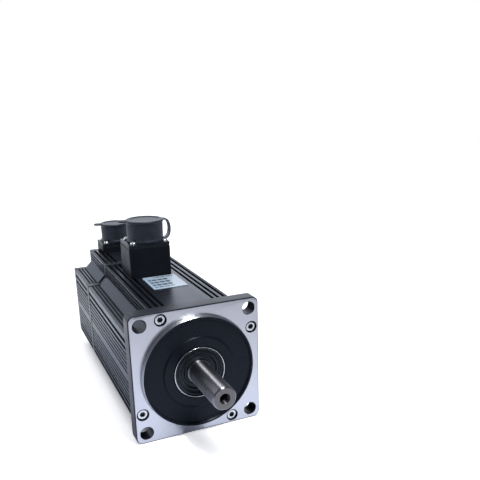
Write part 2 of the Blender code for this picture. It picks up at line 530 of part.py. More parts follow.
# ------------------------------------------------------------------- connectors
def connector(tag, c, pins, mouth_r, bolt_in):
    """Terminal box, gasket, receptacle with pins, four screws, and a rubber
    dust cap on a strap."""
    x, y0, w, d = c["x"], c["y"], c["w"], c["d"]
    cy = y0 + d / 2
    z0 = BODY_HALF + 0.3
    z1 = z0 + c["base"]
    zg = z1 + 0.3
    zp = zg + 0.9 + 0.3
    zt = zp + 2.2
    corners = [(x + sx * (w / 2 - bolt_in), cy + sy * (d / 2 - bolt_in)) for sx in (-1, 1) for sy in (-1, 1)]
    box = prism(tag + "_terminal_box", [rounded(x, cy, w, d, 1.8, 3)], z0, z1, CAST, axis="Z")
    well = min(w, d) - 11.0 if c["base"] > 10 else 2 * mouth_r - 8.0
    boolean(box, prism(tag + "_box_well", [rounded(x, cy, well, well, well * 0.3, 3)], z0 - 1, z1 + 1, CAST, axis="Z", coll=cutters))
    boolean(box, rods(tag + "_box_screw_holes", corners, 1.6, z1 - min(9.0, c["base"] - 1.0), z1 + 1, CAST, axis="Z", seg=8))
    gasket = prism(tag + "_gasket", [rounded(x, cy, w - 0.9, d - 0.9, 1.6, 3), rounded(x, cy, well, well, well * 0.3, 3)[::-1]],
                   zg, zg + 0.9, RUBBER, axis="Z")
    boolean(gasket, rods(tag + "_gasket_holes", corners, 1.6, zg - 1, zg + 2, RUBBER, axis="Z", seg=8))
    plate = prism(tag + "_receptacle", [rounded(x, cy, w, d, 1.8, 3)], zp, zt, ZINC, axis="Z")
    boolean(plate, rods(tag + "_plate_bore", [(x, cy)], mouth_r - 0.8, zp - 1, zt + 1, ZINC, axis="Z", seg=24))
    shell = turned(tag + "_shell", [(mouth_r - 1.6, zt + 13.5), (mouth_r, zt + 13.5), (mouth_r, zp + 0.5), (mouth_r - 1.6, zp + 0.5)], ZINC,
                   steps=24, at=(x, cy, 0), axis="Z", closed=True, coll=cutters)
    boolean(plate, shell, "UNION")
    boolean(plate, rods(tag + "_receptacle_holes", corners, 1.6, zp - 1, zt + 1, ZINC, axis="Z", seg=8))
    insert = rods(tag + "_pin_insert", [(x, cy)], mouth_r - 1.9, zp + 0.3, zt + 3.0, INSULATOR, axis="Z", seg=20, coll=parts)
    boolean(insert, rods(tag + "_pins", [(x + a, cy + b) for a, b in pins], 0.9 if len(pins) > 6 else 1.4, zp - 3.0, zt + 8.0, ZINC, axis="Z", seg=6), "UNION")
    for i, (a, b) in enumerate(corners):
        s = turned("%s_screw_%d" % (tag, i + 1), [
            (0.0, zt + 2.5), (1.6, zt + 2.4), (3.0, zt + 1.2), (3.0, zt + GAP), (1.3, zt + GAP), (1.3, zt - min(8.0, c["base"] + 2.0)),
            (0.0, zt - min(8.0, c["base"] + 2.0))], ZINC, steps=12, at=(a, b, 0), axis="Z")
        boolean(s, block("%s_screw_%d_slot" % (tag, i + 1), (a - 3.4, a + 3.4), (b - 0.4, b + 0.4), (zt + 1.6, zt + 4.0), ZINC, coll=cutters))
    # dust cap: a cup with a rim at the top, a pull tab on the left and a strap on the right
    r, top = c["cap_r"], c["cap_top"]
    zb = zt + 0.5
    cap = turned(tag + "_dust_cap", [
        (0.0, top - 0.6), (r - 2.2, top - 0.6), (r - 1.6, top), (r + 0.2, top), (r + 0.6, top - 0.5), (r + 0.6, top - 2.4), (r, top - 2.8),
        (r - 0.2, zb + 2.6), (r + 0.2, zb + 1.8), (r + 0.2, zb), (mouth_r + 0.5, zb), (mouth_r + 0.5, zt + 14.6), (0.0, zt + 14.6)],
        RUBBER, steps=28, at=(x, cy, 0), axis="Z")
    tab = prism(tag + "_cap_tab", [rounded(x - r - 2.2, cy, 9.0, 9.0, 3.0, 4)], top - 2.4, top - 0.4, RUBBER, axis="Z", coll=cutters)
    boolean(cap, tab, "UNION")
    if r + 0.2 > 0.5 * math.hypot(w - 2 * bolt_in, d - 2 * bolt_in) - 3.6:
        boolean(cap, rods(tag + "_cap_screw_relief", corners, 3.5, zb - 1, zb + 3.4, RUBBER, axis="Z", seg=12))
    # strap: a flat band bowed outwards from the base plate up to the rim
    hh = 0.5 * (top - 1.3 - (zt + 1.1))
    zc = 0.5 * (top - 1.3 + zt + 1.1)
    x_in = x + r + 0.9
    bow = 4.6 if hh > 8 else 3.8
    n = 10
    outer_pts, inner_pts = [], []
    for i in range(n + 1):
        t = math.pi * (i / n - 0.5)
        outer_pts.append((x_in + 0.4 + bow * math.cos(t) + 1.1 * math.cos(t), zc + (hh + 0.9) * math.sin(t)))
        inner_pts.append((x_in + 0.4 + (bow) * math.cos(t) - 0.4, zc + (hh - 0.7) * math.sin(t)))
    loop = outer_pts + inner_pts[::-1]
    strap = prism(tag + "_cap_strap", [loop], cy - 2.6, cy + 2.6, RUBBER)
    return dict(zt=zt, zb=zb, x=x, cy=cy, r=r, top=top, shell_top=zt + 13.5)


PWR_PINS = [(6.2 * math.cos(a), 6.2 * math.sin(a)) for a in (math.radians(45 + 90 * k) for k in range(4))]
ENC_PINS = [(5.2 * math.cos(2 * math.pi * k / 8), 5.2 * math.sin(2 * math.pi * k / 8)) for k in range(8)]
connector("power", PWR, PWR_PINS, 13.0, 3.9)
connector("encoder", ENC, ENC_PINS, 10.6, 3.9)

bpy.context.view_layer.update()
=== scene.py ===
"""Looks for the servo motor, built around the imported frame.

Lengths in the builders below are in millimetres: x to the right, y counted
back from the flange's front face, z up from the shaft axis.  put() turns them
into the frame's metres.
"""
import math

import bmesh
import bpy
import numpy as np
from mathutils import Matrix, Vector


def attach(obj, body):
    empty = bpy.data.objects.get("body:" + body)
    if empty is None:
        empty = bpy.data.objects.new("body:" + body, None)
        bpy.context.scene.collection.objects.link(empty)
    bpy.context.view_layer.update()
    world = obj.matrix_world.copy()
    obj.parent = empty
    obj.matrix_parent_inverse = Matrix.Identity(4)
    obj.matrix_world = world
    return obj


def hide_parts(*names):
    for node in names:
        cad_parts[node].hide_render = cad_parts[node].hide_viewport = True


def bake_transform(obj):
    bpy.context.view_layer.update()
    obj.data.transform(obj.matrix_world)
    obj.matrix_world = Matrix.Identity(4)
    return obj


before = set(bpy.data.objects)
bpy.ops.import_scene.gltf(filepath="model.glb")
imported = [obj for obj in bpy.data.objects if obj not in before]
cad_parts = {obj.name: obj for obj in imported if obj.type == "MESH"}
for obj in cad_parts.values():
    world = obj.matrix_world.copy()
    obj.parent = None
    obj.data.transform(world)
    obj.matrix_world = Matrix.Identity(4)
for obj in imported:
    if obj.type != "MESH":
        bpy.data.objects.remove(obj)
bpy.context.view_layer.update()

# ------------------------------------------------------------------ dimensions
Y0 = -94.0
AXIS = 55.0
FLANGE = dict(sq=110.0, t=13.0, r=5.5, ch=0.9)
BOLT, BOLT_R = 45.96, 5.5
PILOT_R, PILOT_H = 47.5, 5.0
SCREW_A, SCREW_B = 29.05, 48.2
HALF, FACE, FACE_LOW = 53.75, 35.0, 36.4
DIAG = 48.7 / math.sqrt(2)
FLANGE_SCREWS = [(-SCREW_A, SCREW_B), (SCREW_B, SCREW_A), (SCREW_A, -SCREW_B), (-SCREW_B, -SCREW_A)]
TIES = [(DIAG, DIAG), (-DIAG, DIAG), (-DIAG, -DIAG), (DIAG, -DIAG)]
PWR = dict(x=-4.2, y=101.5, w=37.6, d=32.0, base=27.3, cap_r=17.0, cap_top=105.5, mouth=13.0)
ENC = dict(x=-8.2, y=214.6, w=31.4, d=27.0, base=5.6, cap_r=14.3, cap_top=83.6, mouth=10.6)


# ------------------------------------------------------------------- materials
def tree(name):
    m = bpy.data.materials.new(name)
    m.use_nodes = True
    nt = m.node_tree
    return m, nt, nt.nodes["Principled BSDF"]


def node(nt, kind, **kw):
    n = nt.nodes.new(kind)
    for k, v in kw.items():
        if k in n.inputs.keys():
            n.inputs[k].default_value = v
        else:
            setattr(n, k, v)
    return n


def coords(nt, scale=(1, 1, 1), rot=(0, 0, 0)):
    tc = node(nt, "ShaderNodeTexCoord")
    mp = node(nt, "ShaderNodeMapping")
    mp.inputs["Scale"].default_value = scale
    mp.inputs["Rotation"].default_value = rot
    nt.links.new(tc.outputs["Object"], mp.inputs["Vector"])
    return mp.outputs["Vector"]


def noise(nt, vec, scale, detail=4.0, rough=0.55, dist=0.0):
    n = node(nt, "ShaderNodeTexNoise")
    n.inputs["Scale"].default_value = scale
    n.inputs["Detail"].default_value = detail
    n.inputs["Roughness"].default_value = rough
    n.inputs["Distortion"].default_value = dist
    nt.links.new(vec, n.inputs["Vector"])
    return n.outputs["Fac"]


def ramp(nt, fac, stops):
    r = node(nt, "ShaderNodeValToRGB")
    els = r.color_ramp.elements
    while len(els) < len(stops):
        els.new(0.5)
    for e, (p, c) in zip(els, stops):
        e.position = p
        e.color = (*c, 1.0) if len(c) == 3 else c
    nt.links.new(fac, r.inputs["Fac"])
    return r.outputs["Color"]


def span(nt, fac, lo, hi, a=0.0, b=1.0):
    r = node(nt, "ShaderNodeMapRange")
    for k, v in (("From Min", a), ("From Max", b), ("To Min", lo), ("To Max", hi)):
        r.inputs[k].default_value = v
    nt.links.new(fac, r.inputs["Value"])
    return r.outputs["Result"]


def mix(nt, fac, a, b):
    m = node(nt, "ShaderNodeMix", data_type="RGBA")
    nt.links.new(fac, m.inputs[0])
    for sock, v in ((m.inputs[6], a), (m.inputs[7], b)):
        if isinstance(v, tuple):
            sock.default_value = (*v, 1.0)
        else:
            nt.links.new(v, sock)
    return m.outputs[2]


def maths(nt, op, a, b=None):
    n = node(nt, "ShaderNodeMath", operation=op)
    for sock, v in ((n.inputs[0], a), (n.inputs[1], b)):
        if v is None:
            continue
        if isinstance(v, (int, float)):
            sock.default_value = v
        else:
            nt.links.new(v, sock)
    return n.outputs[0]


def bump(nt, bsdf, height, strength, distance=0.0002, also=None):
    b = node(nt, "ShaderNodeBump")
    b.inputs["Strength"].default_value = strength
    b.inputs["Distance"].default_value = distance
    nt.links.new(height, b.inputs["Height"])
    if also is not None:
        nt.links.new(also, b.inputs["Normal"])
    nt.links.new(b.outputs["Normal"], bsdf.inputs["Normal"])
    return b.outputs["Normal"]


BLUISH = (0.74, 0.84, 1.0)


def metal(name, dark, light, rough, metallic, lines=(1, 1, 1), grain=900.0, depth=0.15, rough_var=0.06,
          blotch=60.0, spec=0.5, tint=(1.0, 1.0, 1.0)):
    """Metal or painted metal: slow tone changes, directional grain in
    roughness and bump."""
    m, nt, b = tree(name)
    v = coords(nt)
    slow = noise(nt, v, blotch, 3.0)
    vl = coords(nt, lines)
    fine = noise(nt, vl, grain, 3.0, 0.6)
    nt.links.new(mix(nt, slow, dark, light), b.inputs["Base Color"])
    both = maths(nt, "ADD", maths(nt, "MULTIPLY", slow, 0.5), maths(nt, "MULTIPLY", fine, 0.5))
    nt.links.new(span(nt, both, rough - rough_var, rough + rough_var, 0.3, 0.7), b.inputs["Roughness"])
    b.inputs["Metallic"].default_value = metallic
    b.inputs["Specular IOR Level"].default_value = spec
    b.inputs["Specular Tint"].default_value = (*tint, 1.0)
    bump(nt, b, fine, depth, 0.00008)
    return m


def dusty(name, dark, light, rough, peel=1500.0, depth=0.25, metallic=0.0, spec=0.5, dust=0.35, specks=True):
    """Satin paint on a casting: orange peel, soft tone changes, dust specks."""
    m, nt, b = tree(name)
    v = coords(nt)
    slow = noise(nt, v, 45.0, 4.0)
    fine = noise(nt, v, peel, 2.0)
    col = mix(nt, slow, dark, light)
    if specks:
        vo = node(nt, "ShaderNodeTexVoronoi", feature="F1")
        vo.inputs["Scale"].default_value = 160.0
        nt.links.new(v, vo.inputs["Vector"])
        near = span(nt, vo.outputs["Distance"], 1.0, 0.0, 0.025, 0.05)
        pick = node(nt, "ShaderNodeSeparateColor")
        nt.links.new(vo.outputs["Color"], pick.inputs["Color"])
        rare = span(nt, pick.outputs[0], 0.0, 1.0, 0.86, 0.9)
        col = mix(nt, maths(nt, "MULTIPLY", maths(nt, "MULTIPLY", near, rare), dust), col, (0.45, 0.47, 0.5))
    nt.links.new(col, b.inputs["Base Color"])
    nt.links.new(span(nt, slow, rough - 0.05, rough + 0.07, 0.3, 0.7), b.inputs["Roughness"])
    b.inputs["Metallic"].default_value = metallic
    b.inputs["Specular IOR Level"].default_value = spec
    b.inputs["Specular Tint"].default_value = (*BLUISH, 1.0)
    bump(nt, b, fine, depth, 0.00006)
    return m


def turned_marks(name, dark, light, rough, pitch, depth, centre=(0.0, 0.055), metallic=1.0, rough_var=0.05, anis=0.0, turn=0.25):
    """Metal faced or ground on a lathe: fine rings about the shaft axis."""
    m, nt, b = tree(name)
    tc = node(nt, "ShaderNodeTexCoord")
    sep = node(nt, "ShaderNodeSeparateXYZ")
    nt.links.new(tc.outputs["Object"], sep.inputs[0])
    dx = maths(nt, "SUBTRACT", sep.outputs["X"], centre[0])
    dz = maths(nt, "SUBTRACT", sep.outputs["Z"], centre[1])
    r = maths(nt, "SQRT", maths(nt, "ADD", maths(nt, "MULTIPLY", dx, dx), maths(nt, "MULTIPLY", dz, dz)))
    ringv = node(nt, "ShaderNodeCombineXYZ")
    nt.links.new(r, ringv.inputs[0])
    nt.links.new(sep.outputs["Y"], ringv.inputs[1])
    rings = noise(nt, ringv.outputs[0], pitch, 3.0, 0.65)
    slow = noise(nt, tc.outputs["Object"], 40.0, 3.0)
    tiny = noise(nt, tc.outputs["Object"], 2600.0, 1.0)
    nt.links.new(mix(nt, slow, dark, light), b.inputs["Base Color"])
    both = maths(nt, "ADD", maths(nt, "MULTIPLY", slow, 0.4), maths(nt, "MULTIPLY", rings, 0.6))
    nt.links.new(span(nt, both, rough - rough_var, rough + rough_var, 0.3, 0.7), b.inputs["Roughness"])
    b.inputs["Metallic"].default_value = metallic
    if anis:
        # the marks run round the axis, so gloss spreads across them
        shift = node(nt, "ShaderNodeTangent", direction_type="RADIAL", axis="Y")
        nt.links.new(shift.outputs[0], b.inputs["Tangent"])
        b.inputs["Anisotropic"].default_value = anis
        b.inputs["Anisotropic Rotation"].default_value = turn
    if depth:
        bump(nt, b, maths(nt, "ADD", rings, maths(nt, "MULTIPLY", tiny, 0.08)), depth, 0.00005)
    return m


ANODISED = metal("black_anodised", (0.006, 0.007, 0.010), (0.013, 0.015, 0.020), 0.27, 0.25, lines=(1, 0.012, 1),
                 grain=170.0, depth=0.05, rough_var=0.03, spec=0.50, tint=BLUISH)
# a darker, duller copy of the anodising for the slot walls and floors: painted shade in the recesses
SLOT_SHADE = metal("anodised_slot_painted_shade", (0.004, 0.005, 0.007), (0.008, 0.009, 0.012), 0.40, 0.0, lines=(1, 0.02, 1), grain=600.0, depth=0.05,
             rough_var=0.05, spec=0.16, tint=BLUISH)
CAST = dusty("black_cast_paint", (0.0045, 0.0055, 0.008), (0.008, 0.009, 0.013), 0.33, peel=900.0, depth=0.2, spec=0.45)
BOX = dusty("box_paint", (0.0035, 0.0045, 0.006), (0.007, 0.008, 0.011), 0.38, peel=1300.0, depth=0.3, spec=0.17)
MACHINED = turned_marks("machined_face", (0.62, 0.63, 0.66), (0.68, 0.69, 0.73), 0.30, 900.0, 0.010, rough_var=0.03)
SPIGOT = turned_marks("turned_spigot", (0.46, 0.47, 0.50), (0.60, 0.61, 0.65), 0.30, 1500.0, 0.0, anis=0.92)
SHAFT = turned_marks("ground_shaft", (0.235, 0.235, 0.255), (0.305, 0.305, 0.325), 0.32, 900.0, 0.0, rough_var=0.03, anis=0.95)
SHAFT_END = turned_marks("shaft_end_face", (0.15, 0.145, 0.14), (0.23, 0.22, 0.215), 0.36, 1100.0, 0.12)
ZINC = metal("zinc_plate", (0.60, 0.63, 0.64), (0.82, 0.83, 0.82), 0.22, 1.0, grain=1600.0, depth=0.15, blotch=500.0)
# dark, blue-green metal for inside the hex sockets: painted shade with a painted reflection in the recess
SOCKET_SHADE = metal("socket_painted_shade", (0.03, 0.04, 0.05), (0.10, 0.12, 0.14), 0.35, 0.9, grain=1200.0, depth=0.3, blotch=900.0)
BLACK_STEEL = metal("black_oxide", (0.02, 0.021, 0.025), (0.05, 0.052, 0.06), 0.35, 0.8, grain=1200.0, depth=0.3, blotch=600.0)
BEARING = turned_marks("bearing_steel", (0.45, 0.46, 0.48), (0.6, 0.6, 0.62), 0.14, 1800.0, 0.1)
MAGNET = metal("nickel_magnet", (0.50, 0.49, 0.46), (0.62, 0.61, 0.58), 0.22, 1.0, grain=700.0, depth=0.1)
SEAL_CASE = metal("seal_case", (0.55, 0.55, 0.56), (0.78, 0.78, 0.78), 0.2, 1.0, grain=900.0, depth=0.1, blotch=300.0)


def rubber(name, dark, light, rough, pores=1800.0, depth=0.35, sheen=0.0):
    m, nt, b = tree(name)
    v = coords(nt)
    slow = noise(nt, v, 70.0, 4.0, 0.6)
    fine = noise(nt, v, pores, 3.0, 0.7)
    bloom = noise(nt, v, 260.0, 3.0, 0.65)
    base = mix(nt, slow, dark, light)
    pale = tuple(min(1.0, c * 1.5 + 0.004) for c in light)
    nt.links.new(mix(nt, span(nt, bloom, 0.0, 0.5, 0.45, 0.75), base, pale), b.inputs["Base Color"])
    nt.links.new(span(nt, fine, rough - 0.06, rough + 0.08, 0.3, 0.7), b.inputs["Roughness"])
    b.inputs["Specular IOR Level"].default_value = 0.38
    b.inputs["Specular Tint"].default_value = (*BLUISH, 1.0)
    b.inputs["Sheen Weight"].default_value = sheen
    b.inputs["Sheen Roughness"].default_value = 0.4
    bump(nt, b, fine, depth, 0.00006)
    return m


RUBBER = rubber("cap_rubber", (0.009, 0.011, 0.017), (0.016, 0.019, 0.027), 0.42, sheen=0.15)
STRAP = rubber("strap_rubber", (0.045, 0.050, 0.068), (0.075, 0.082, 0.108), 0.40, sheen=0.35)
SEAL = rubber("seal_rubber", (0.007, 0.008, 0.010), (0.013, 0.014, 0.017), 0.42)


def lamination():
    m, nt, b = tree("stacked_laminations")
    tc = node(nt, "ShaderNodeTexCoord")
    w = node(nt, "ShaderNodeTexWave", wave_type="BANDS", bands_direction="Y")
    w.inputs["Scale"].default_value = 320.0
    w.inputs["Distortion"].default_value = 0.6
    w.inputs["Detail"].default_value = 2.0
    nt.links.new(tc.outputs["Object"], w.inputs["Vector"])
    nt.links.new(mix(nt, w.outputs["Fac"], (0.10, 0.105, 0.12), (0.30, 0.31, 0.33)), b.inputs["Base Color"])
    b.inputs["Metallic"].default_value = 0.9
    nt.links.new(span(nt, w.outputs["Fac"], 0.5, 0.36), b.inputs["Roughness"])
    bump(nt, b, w.outputs["Fac"], 0.5, 0.0002)
    return m


def copper():
    m, nt, b = tree("enamelled_winding")
    tc = node(nt, "ShaderNodeTexCoord")
    w = node(nt, "ShaderNodeTexWave", wave_type="RINGS", rings_direction="Y")
    w.inputs["Scale"].default_value = 240.0
    w.inputs["Distortion"].default_value = 3.0
    w.inputs["Detail"].default_value = 3.0
    nt.links.new(tc.outputs["Object"], w.inputs["Vector"])
    nt.links.new(mix(nt, w.outputs["Fac"], (0.18, 0.045, 0.012), (0.55, 0.20, 0.06)), b.inputs["Base Color"])
    b.inputs["Metallic"].default_value = 0.7
    b.inputs["Coat Weight"].default_value = 0.6
    nt.links.new(span(nt, w.outputs["Fac"], 0.45, 0.25), b.inputs["Roughness"])
    bump(nt, b, w.outputs["Fac"], 0.8, 0.0004)
    return m


def board():
    m, nt, b = tree("circuit_board")
    v = coords(nt)
    br = node(nt, "ShaderNodeTexBrick")
    br.inputs["Scale"].default_value = 110.0
    br.inputs["Mortar Size"].default_value = 0.06
    br.inputs["Color1"].default_value = (0.012, 0.10, 0.035, 1)
    br.inputs["Color2"].default_value = (0.016, 0.13, 0.05, 1)
    br.inputs["Mortar"].default_value = (0.05, 0.24, 0.09, 1)
    nt.links.new(v, br.inputs["Vector"])
    nt.links.new(br.outputs["Color"], b.inputs["Base Color"])
    n = noise(nt, v, 300.0)
    nt.links.new(span(nt, n, 0.3, 0.5), b.inputs["Roughness"])
    bump(nt, b, br.outputs["Fac"], 0.4, 0.0001)
    return m


def code_glass():
    m, nt, b = tree("code_disc_glass")
    tc = node(nt, "ShaderNodeTexCoord")
    n = noise(nt, tc.outputs["Object"], 120.0)
    nt.links.new(mix(nt, n, (0.55, 0.62, 0.68), (0.72, 0.78, 0.82)), b.inputs["Base Color"])
    nt.links.new(span(nt, n, 0.03, 0.1), b.inputs["Roughness"])
    b.inputs["Transmission Weight"].default_value = 0.6
    b.inputs["Metallic"].default_value = 0.2
    return m


PILOT = dusty("spigot_face_paint", (0.0030, 0.0040, 0.0065), (0.0055, 0.0070, 0.0110), 0.28, peel=500.0, depth=0.07, spec=0.20)
INSULATOR = dusty("moulded_insulator", (0.010, 0.010, 0.011), (0.022, 0.022, 0.024), 0.45, peel=1400.0, depth=0.25, specks=False)
INNER = {"lam": lamination(), "cu": copper(), "pcb": board(), "glass": code_glass()}


def label_material():
    """Printed foil: pale blue, made lighter across the middle by painted light,
    with rows of plain grey bars that stand for the rating table."""
    m, nt, b = tree("label_print")
    tc = node(nt, "ShaderNodeTexCoord")
    sep = node(nt, "ShaderNodeSeparateXYZ")
    nt.links.new(tc.outputs["Object"], sep.inputs[0])
    # label-local coordinates, 0..1 across and 0..1 from front to back
    u = span(nt, sep.outputs["X"], 0.0, 1.0, -0.0150, 0.0160)
    w = span(nt, sep.outputs["Y"], 0.0, 1.0, -0.0337, 0.0053)
    # tone across the label, lighter in the middle: painted light
    base = ramp(nt, u, [(0.0, (0.24, 0.32, 0.40)), (0.45, (0.29, 0.36, 0.43)), (1.0, (0.27, 0.31, 0.36))])
    rows = maths(nt, "FRACT", maths(nt, "MULTIPLY", w, 5.0))
    inrow = maths(nt, "MULTIPLY", maths(nt, "GREATER_THAN", rows, 0.20), maths(nt, "LESS_THAN", rows, 0.80))
    cell = node(nt, "ShaderNodeCombineXYZ")
    nt.links.new(maths(nt, "FLOOR", maths(nt, "MULTIPLY", u, 6.0)), cell.inputs[0])
    nt.links.new(maths(nt, "FLOOR", maths(nt, "MULTIPLY", w, 5.0)), cell.inputs[1])
    wn = node(nt, "ShaderNodeTexWhiteNoise", noise_dimensions="3D")
    nt.links.new(cell.outputs[0], wn.inputs["Vector"])
    some = maths(nt, "GREATER_THAN", wn.outputs["Value"], 0.12)
    table = maths(nt, "MULTIPLY", maths(nt, "GREATER_THAN", u, 0.08), maths(nt, "LESS_THAN", u, 0.66))
    table = maths(nt, "MULTIPLY", maths(nt, "MULTIPLY", inrow, some), table)
    table = maths(nt, "MULTIPLY", table, maths(nt, "MULTIPLY", maths(nt, "GREATER_THAN", w, 0.10), maths(nt, "LESS_THAN", w, 0.85)))
    title = maths(nt, "MULTIPLY", maths(nt, "GREATER_THAN", w, 0.885), maths(nt, "LESS_THAN", w, 0.945))
    title = maths(nt, "MULTIPLY", title, maths(nt, "MULTIPLY", maths(nt, "GREATER_THAN", u, 0.30), maths(nt, "LESS_THAN", u, 0.93)))
    fine = maths(nt, "GREATER_THAN", maths(nt, "FRACT", maths(nt, "MULTIPLY", u, 6.0)), 0.16)
    ink = maths(nt, "MULTIPLY", maths(nt, "MAXIMUM", table, title), fine)
    ink = maths(nt, "MULTIPLY", ink, 0.92)
    nt.links.new(mix(nt, ink, base, (0.020, 0.032, 0.050)), b.inputs["Base Color"])
    n = noise(nt, tc.outputs["Object"], 700.0)
    nt.links.new(span(nt, n, 0.26, 0.42), b.inputs["Roughness"])
    b.inputs["Specular IOR Level"].default_value = 0.35
    bump(nt, b, n, 0.08, 0.00004)
    return m


LABEL = label_material()


# -------------------------------------------------------------------- builders
def put(p):
    return ((p[0]) * 0.001, (p[1] + Y0) * 0.001, (p[2] + AXIS) * 0.001)


def finish_mesh(name, bm, mats, body, nodes=(), angle=35.0, pick=None, solid=True):
    """bm is in millimetres; pick(centre, normal) gives a face's material index."""
    bmesh.ops.remove_doubles(bm, verts=bm.verts, dist=1e-4)
    if solid:
        bmesh.ops.recalc_face_normals(bm, faces=bm.faces)
    if pick is not None:
        for f in bm.faces:
            f.material_index = pick(f.calc_center_median(), f.normal)
    for v in bm.verts:
        v.co = put(v.co)
    me = bpy.data.meshes.new(name)
    bm.to_mesh(me)
    bm.free()
    for m in mats:
        me.materials.append(m)
    me.shade_smooth()
    me.set_sharp_from_angle(angle=math.radians(angle))
    ob = bpy.data.objects.new(name, me)
    bpy.context.scene.collection.objects.link(ob)
    wn = ob.modifiers.new("weighted_normals", "WEIGHTED_NORMAL")
    wn.keep_sharp = True
    wn.weight = 80
    if body:
        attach(ob, body)
    if nodes:
        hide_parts(*nodes)
    return ob


def fillet(points, r, n=3, closed=True):
    """Rounds the corners of a polygon or polyline; a third value in a point
    is that corner's own radius."""
    pts = [np.array(p[:2], float) for p in points]
    rad = [p[2] if len(p) > 2 else r for p in points]
    out = []
    m = len(pts)
    for i, p in enumerate(pts):
        if not closed and i in (0, m - 1):
            out.append(tuple(p))
            continue
        a, b = pts[i - 1], pts[(i + 1) % m]
        u, v = p - a, b - p
        lu, lv = np.hypot(*u), np.hypot(*v)
        if lu < 1e-9 or lv < 1e-9:
            continue
        u, v = u / lu, v / lv
        cross, dot = u[0] * v[1] - u[1] * v[0], float(np.clip(u @ v, -1, 1))
        th = math.acos(dot)
        if rad[i] <= 0 or th < math.radians(8):
            out.append(tuple(p))
            continue
        t = min(rad[i] * math.tan(th / 2), 0.46 * lu, 0.46 * lv)
        k = max(1, int(round(n * th / (math.pi / 2))))
        p0, p1 = p - u * t, p + v * t
        for j in range(k + 1):
            s = j / k
            out.append(tuple((1 - s) ** 2 * p0 + 2 * s * (1 - s) * p + s * s * p1))
    return out


def inset(loop, d):
    """Moves a counterclockwise loop inwards by d along its vertex normals."""
    pts = np.array(loop, float)
    nxt, prv = np.roll(pts, -1, 0), np.roll(pts, 1, 0)
    e1, e2 = pts - prv, nxt - pts
    e1 /= np.maximum(np.linalg.norm(e1, axis=1, keepdims=True), 1e-12)
    e2 /= np.maximum(np.linalg.norm(e2, axis=1, keepdims=True), 1e-12)
    n1 = np.stack([-e1[:, 1], e1[:, 0]], 1)
    n2 = np.stack([-e2[:, 1], e2[:, 0]], 1)
    nn = n1 + n2
    L = np.linalg.norm(nn, axis=1, keepdims=True)
    nn = nn / np.maximum(L, 1e-9)
    cosv = np.clip((nn * n1).sum(1, keepdims=True), 0.5, 1)
    return [tuple(q) for q in pts + nn * d / cosv]


def area(loop):
    p = np.array(loop, float)
    q = np.roll(p, -1, 0)
    return 0.5 * float((p[:, 0] * q[:, 1] - q[:, 0] * p[:, 1]).sum())


def circle(r, n, cx=0.0, cy=0.0, a0=0.0):
    return [(cx + r * math.cos(a0 + 2 * math.pi * i / n), cy + r * math.sin(a0 + 2 * math.pi * i / n)) for i in range(n)]


def rounded(cx, cy, w, d, r, n=6):
    out = []
    for k, (sx, sy) in enumerate(((1, 1), (-1, 1), (-1, -1), (1, -1))):
        ax, ay = cx + sx * (w / 2 - r), cy + sy * (d / 2 - r)
        for i in range(n + 1):
            t = math.radians(90 * k + 90 * i / n)
            out.append((ax + r * math.cos(t), ay + r * math.sin(t)))
    return out


def at_y(p, h):
    return (p[0], h, p[1])


def at_z(p, h):
    return (p[0], p[1], h)


def ring_verts(bm, loop, h, place):
    return [bm.verts.new(place(p, h)) for p in loop]


def walls(bm, rows, closed=True):
    for a, b in zip(rows, rows[1:]):
        n = len(a)
        for i in range(n if closed else n - 1):
            j = (i + 1) % n
            bm.faces.new((a[i], a[j], b[j], b[i]))


def cap(bm, loops):
    edges = []
    for loop in loops:
        for i in range(len(loop)):
            a, b = loop[i], loop[(i + 1) % len(loop)]
            e = bm.edges.get((a, b)) or bm.edges.new((a, b))
            edges.append(e)
    bmesh.ops.triangle_fill(bm, use_beauty=True, use_dissolve=False, edges=edges)


def slab(bm, outline, h0, h1, place=at_y, ch0=0.3, ch1=0.3, holes=(), steps=1, cap0=True, cap1=True):
    """A prism with eased ends. holes: (loop, ease0, ease1) go right through."""
    def column(loop, c0, c1, sign):
        rows = []
        for i in range(steps + 1 if c0 else 1):
            t = math.pi / 2 * (i / steps if c0 else 1)
            d = c0 * (1 - math.sin(t))
            rows.append(ring_verts(bm, inset(loop, sign * d), h0 + c0 * (1 - math.cos(t)), place))
        for i in range(steps + 1 if c1 else 1):
            t = math.pi / 2 * (i / steps if c1 else 1)
            d = c1 * (1 - math.cos(t)) if c1 else 0
            rows.append(ring_verts(bm, inset(loop, sign * d), h1 - c1 * (1 - math.sin(t)), place))
        walls(bm, rows)
        return rows
    outer = column(outline, ch0, ch1, 1)
    inner = [column(l, a, b, -1) for l, a, b in holes]
    if cap0:
        cap(bm, [outer[0]] + [c[0] for c in inner])
    if cap1:
        cap(bm, [outer[-1]] + [c[-1] for c in inner])
    return outer, inner


def lathe(bm, profile, n=96, cx=0.0, cy=0.0, axis="Y", closed=False):
    """profile is (radius, height); axis Y turns about the shaft, Z stands up."""
    rows = []
    for r, h in profile:
        if r < 1e-6:
            p = (cx, h, cy) if axis == "Y" else (cx, cy, h)
            rows.append([bm.verts.new(p)])
        else:
            rows.append([bm.verts.new((q[0], h, q[1]) if axis == "Y" else (q[0], q[1], h)) for q in circle(r, n, cx, cy)])
    pairs = list(zip(rows, rows[1:])) + ([(rows[-1], rows[0])] if closed else [])
    for a, b in pairs:
        if len(a) == 1 and len(b) == 1:
            continue
        for i in range(n):
            j = (i + 1) % n
            if len(a) == 1:
                bm.faces.new((a[0], b[j], b[i]))
            elif len(b) == 1:
                bm.faces.new((a[i], a[j], b[0]))
            else:
                bm.faces.new((a[i], a[j], b[j], b[i]))
    return rows


def solid_of(bm, name="tmp"):
    bmesh.ops.remove_doubles(bm, verts=bm.verts, dist=1e-5)
    bmesh.ops.recalc_face_normals(bm, faces=bm.faces)
    me = bpy.data.meshes.new(name)
    bm.to_mesh(me)
    bm.free()
    ob = bpy.data.objects.new(name, me)
    bpy.context.scene.collection.objects.link(ob)
    return ob


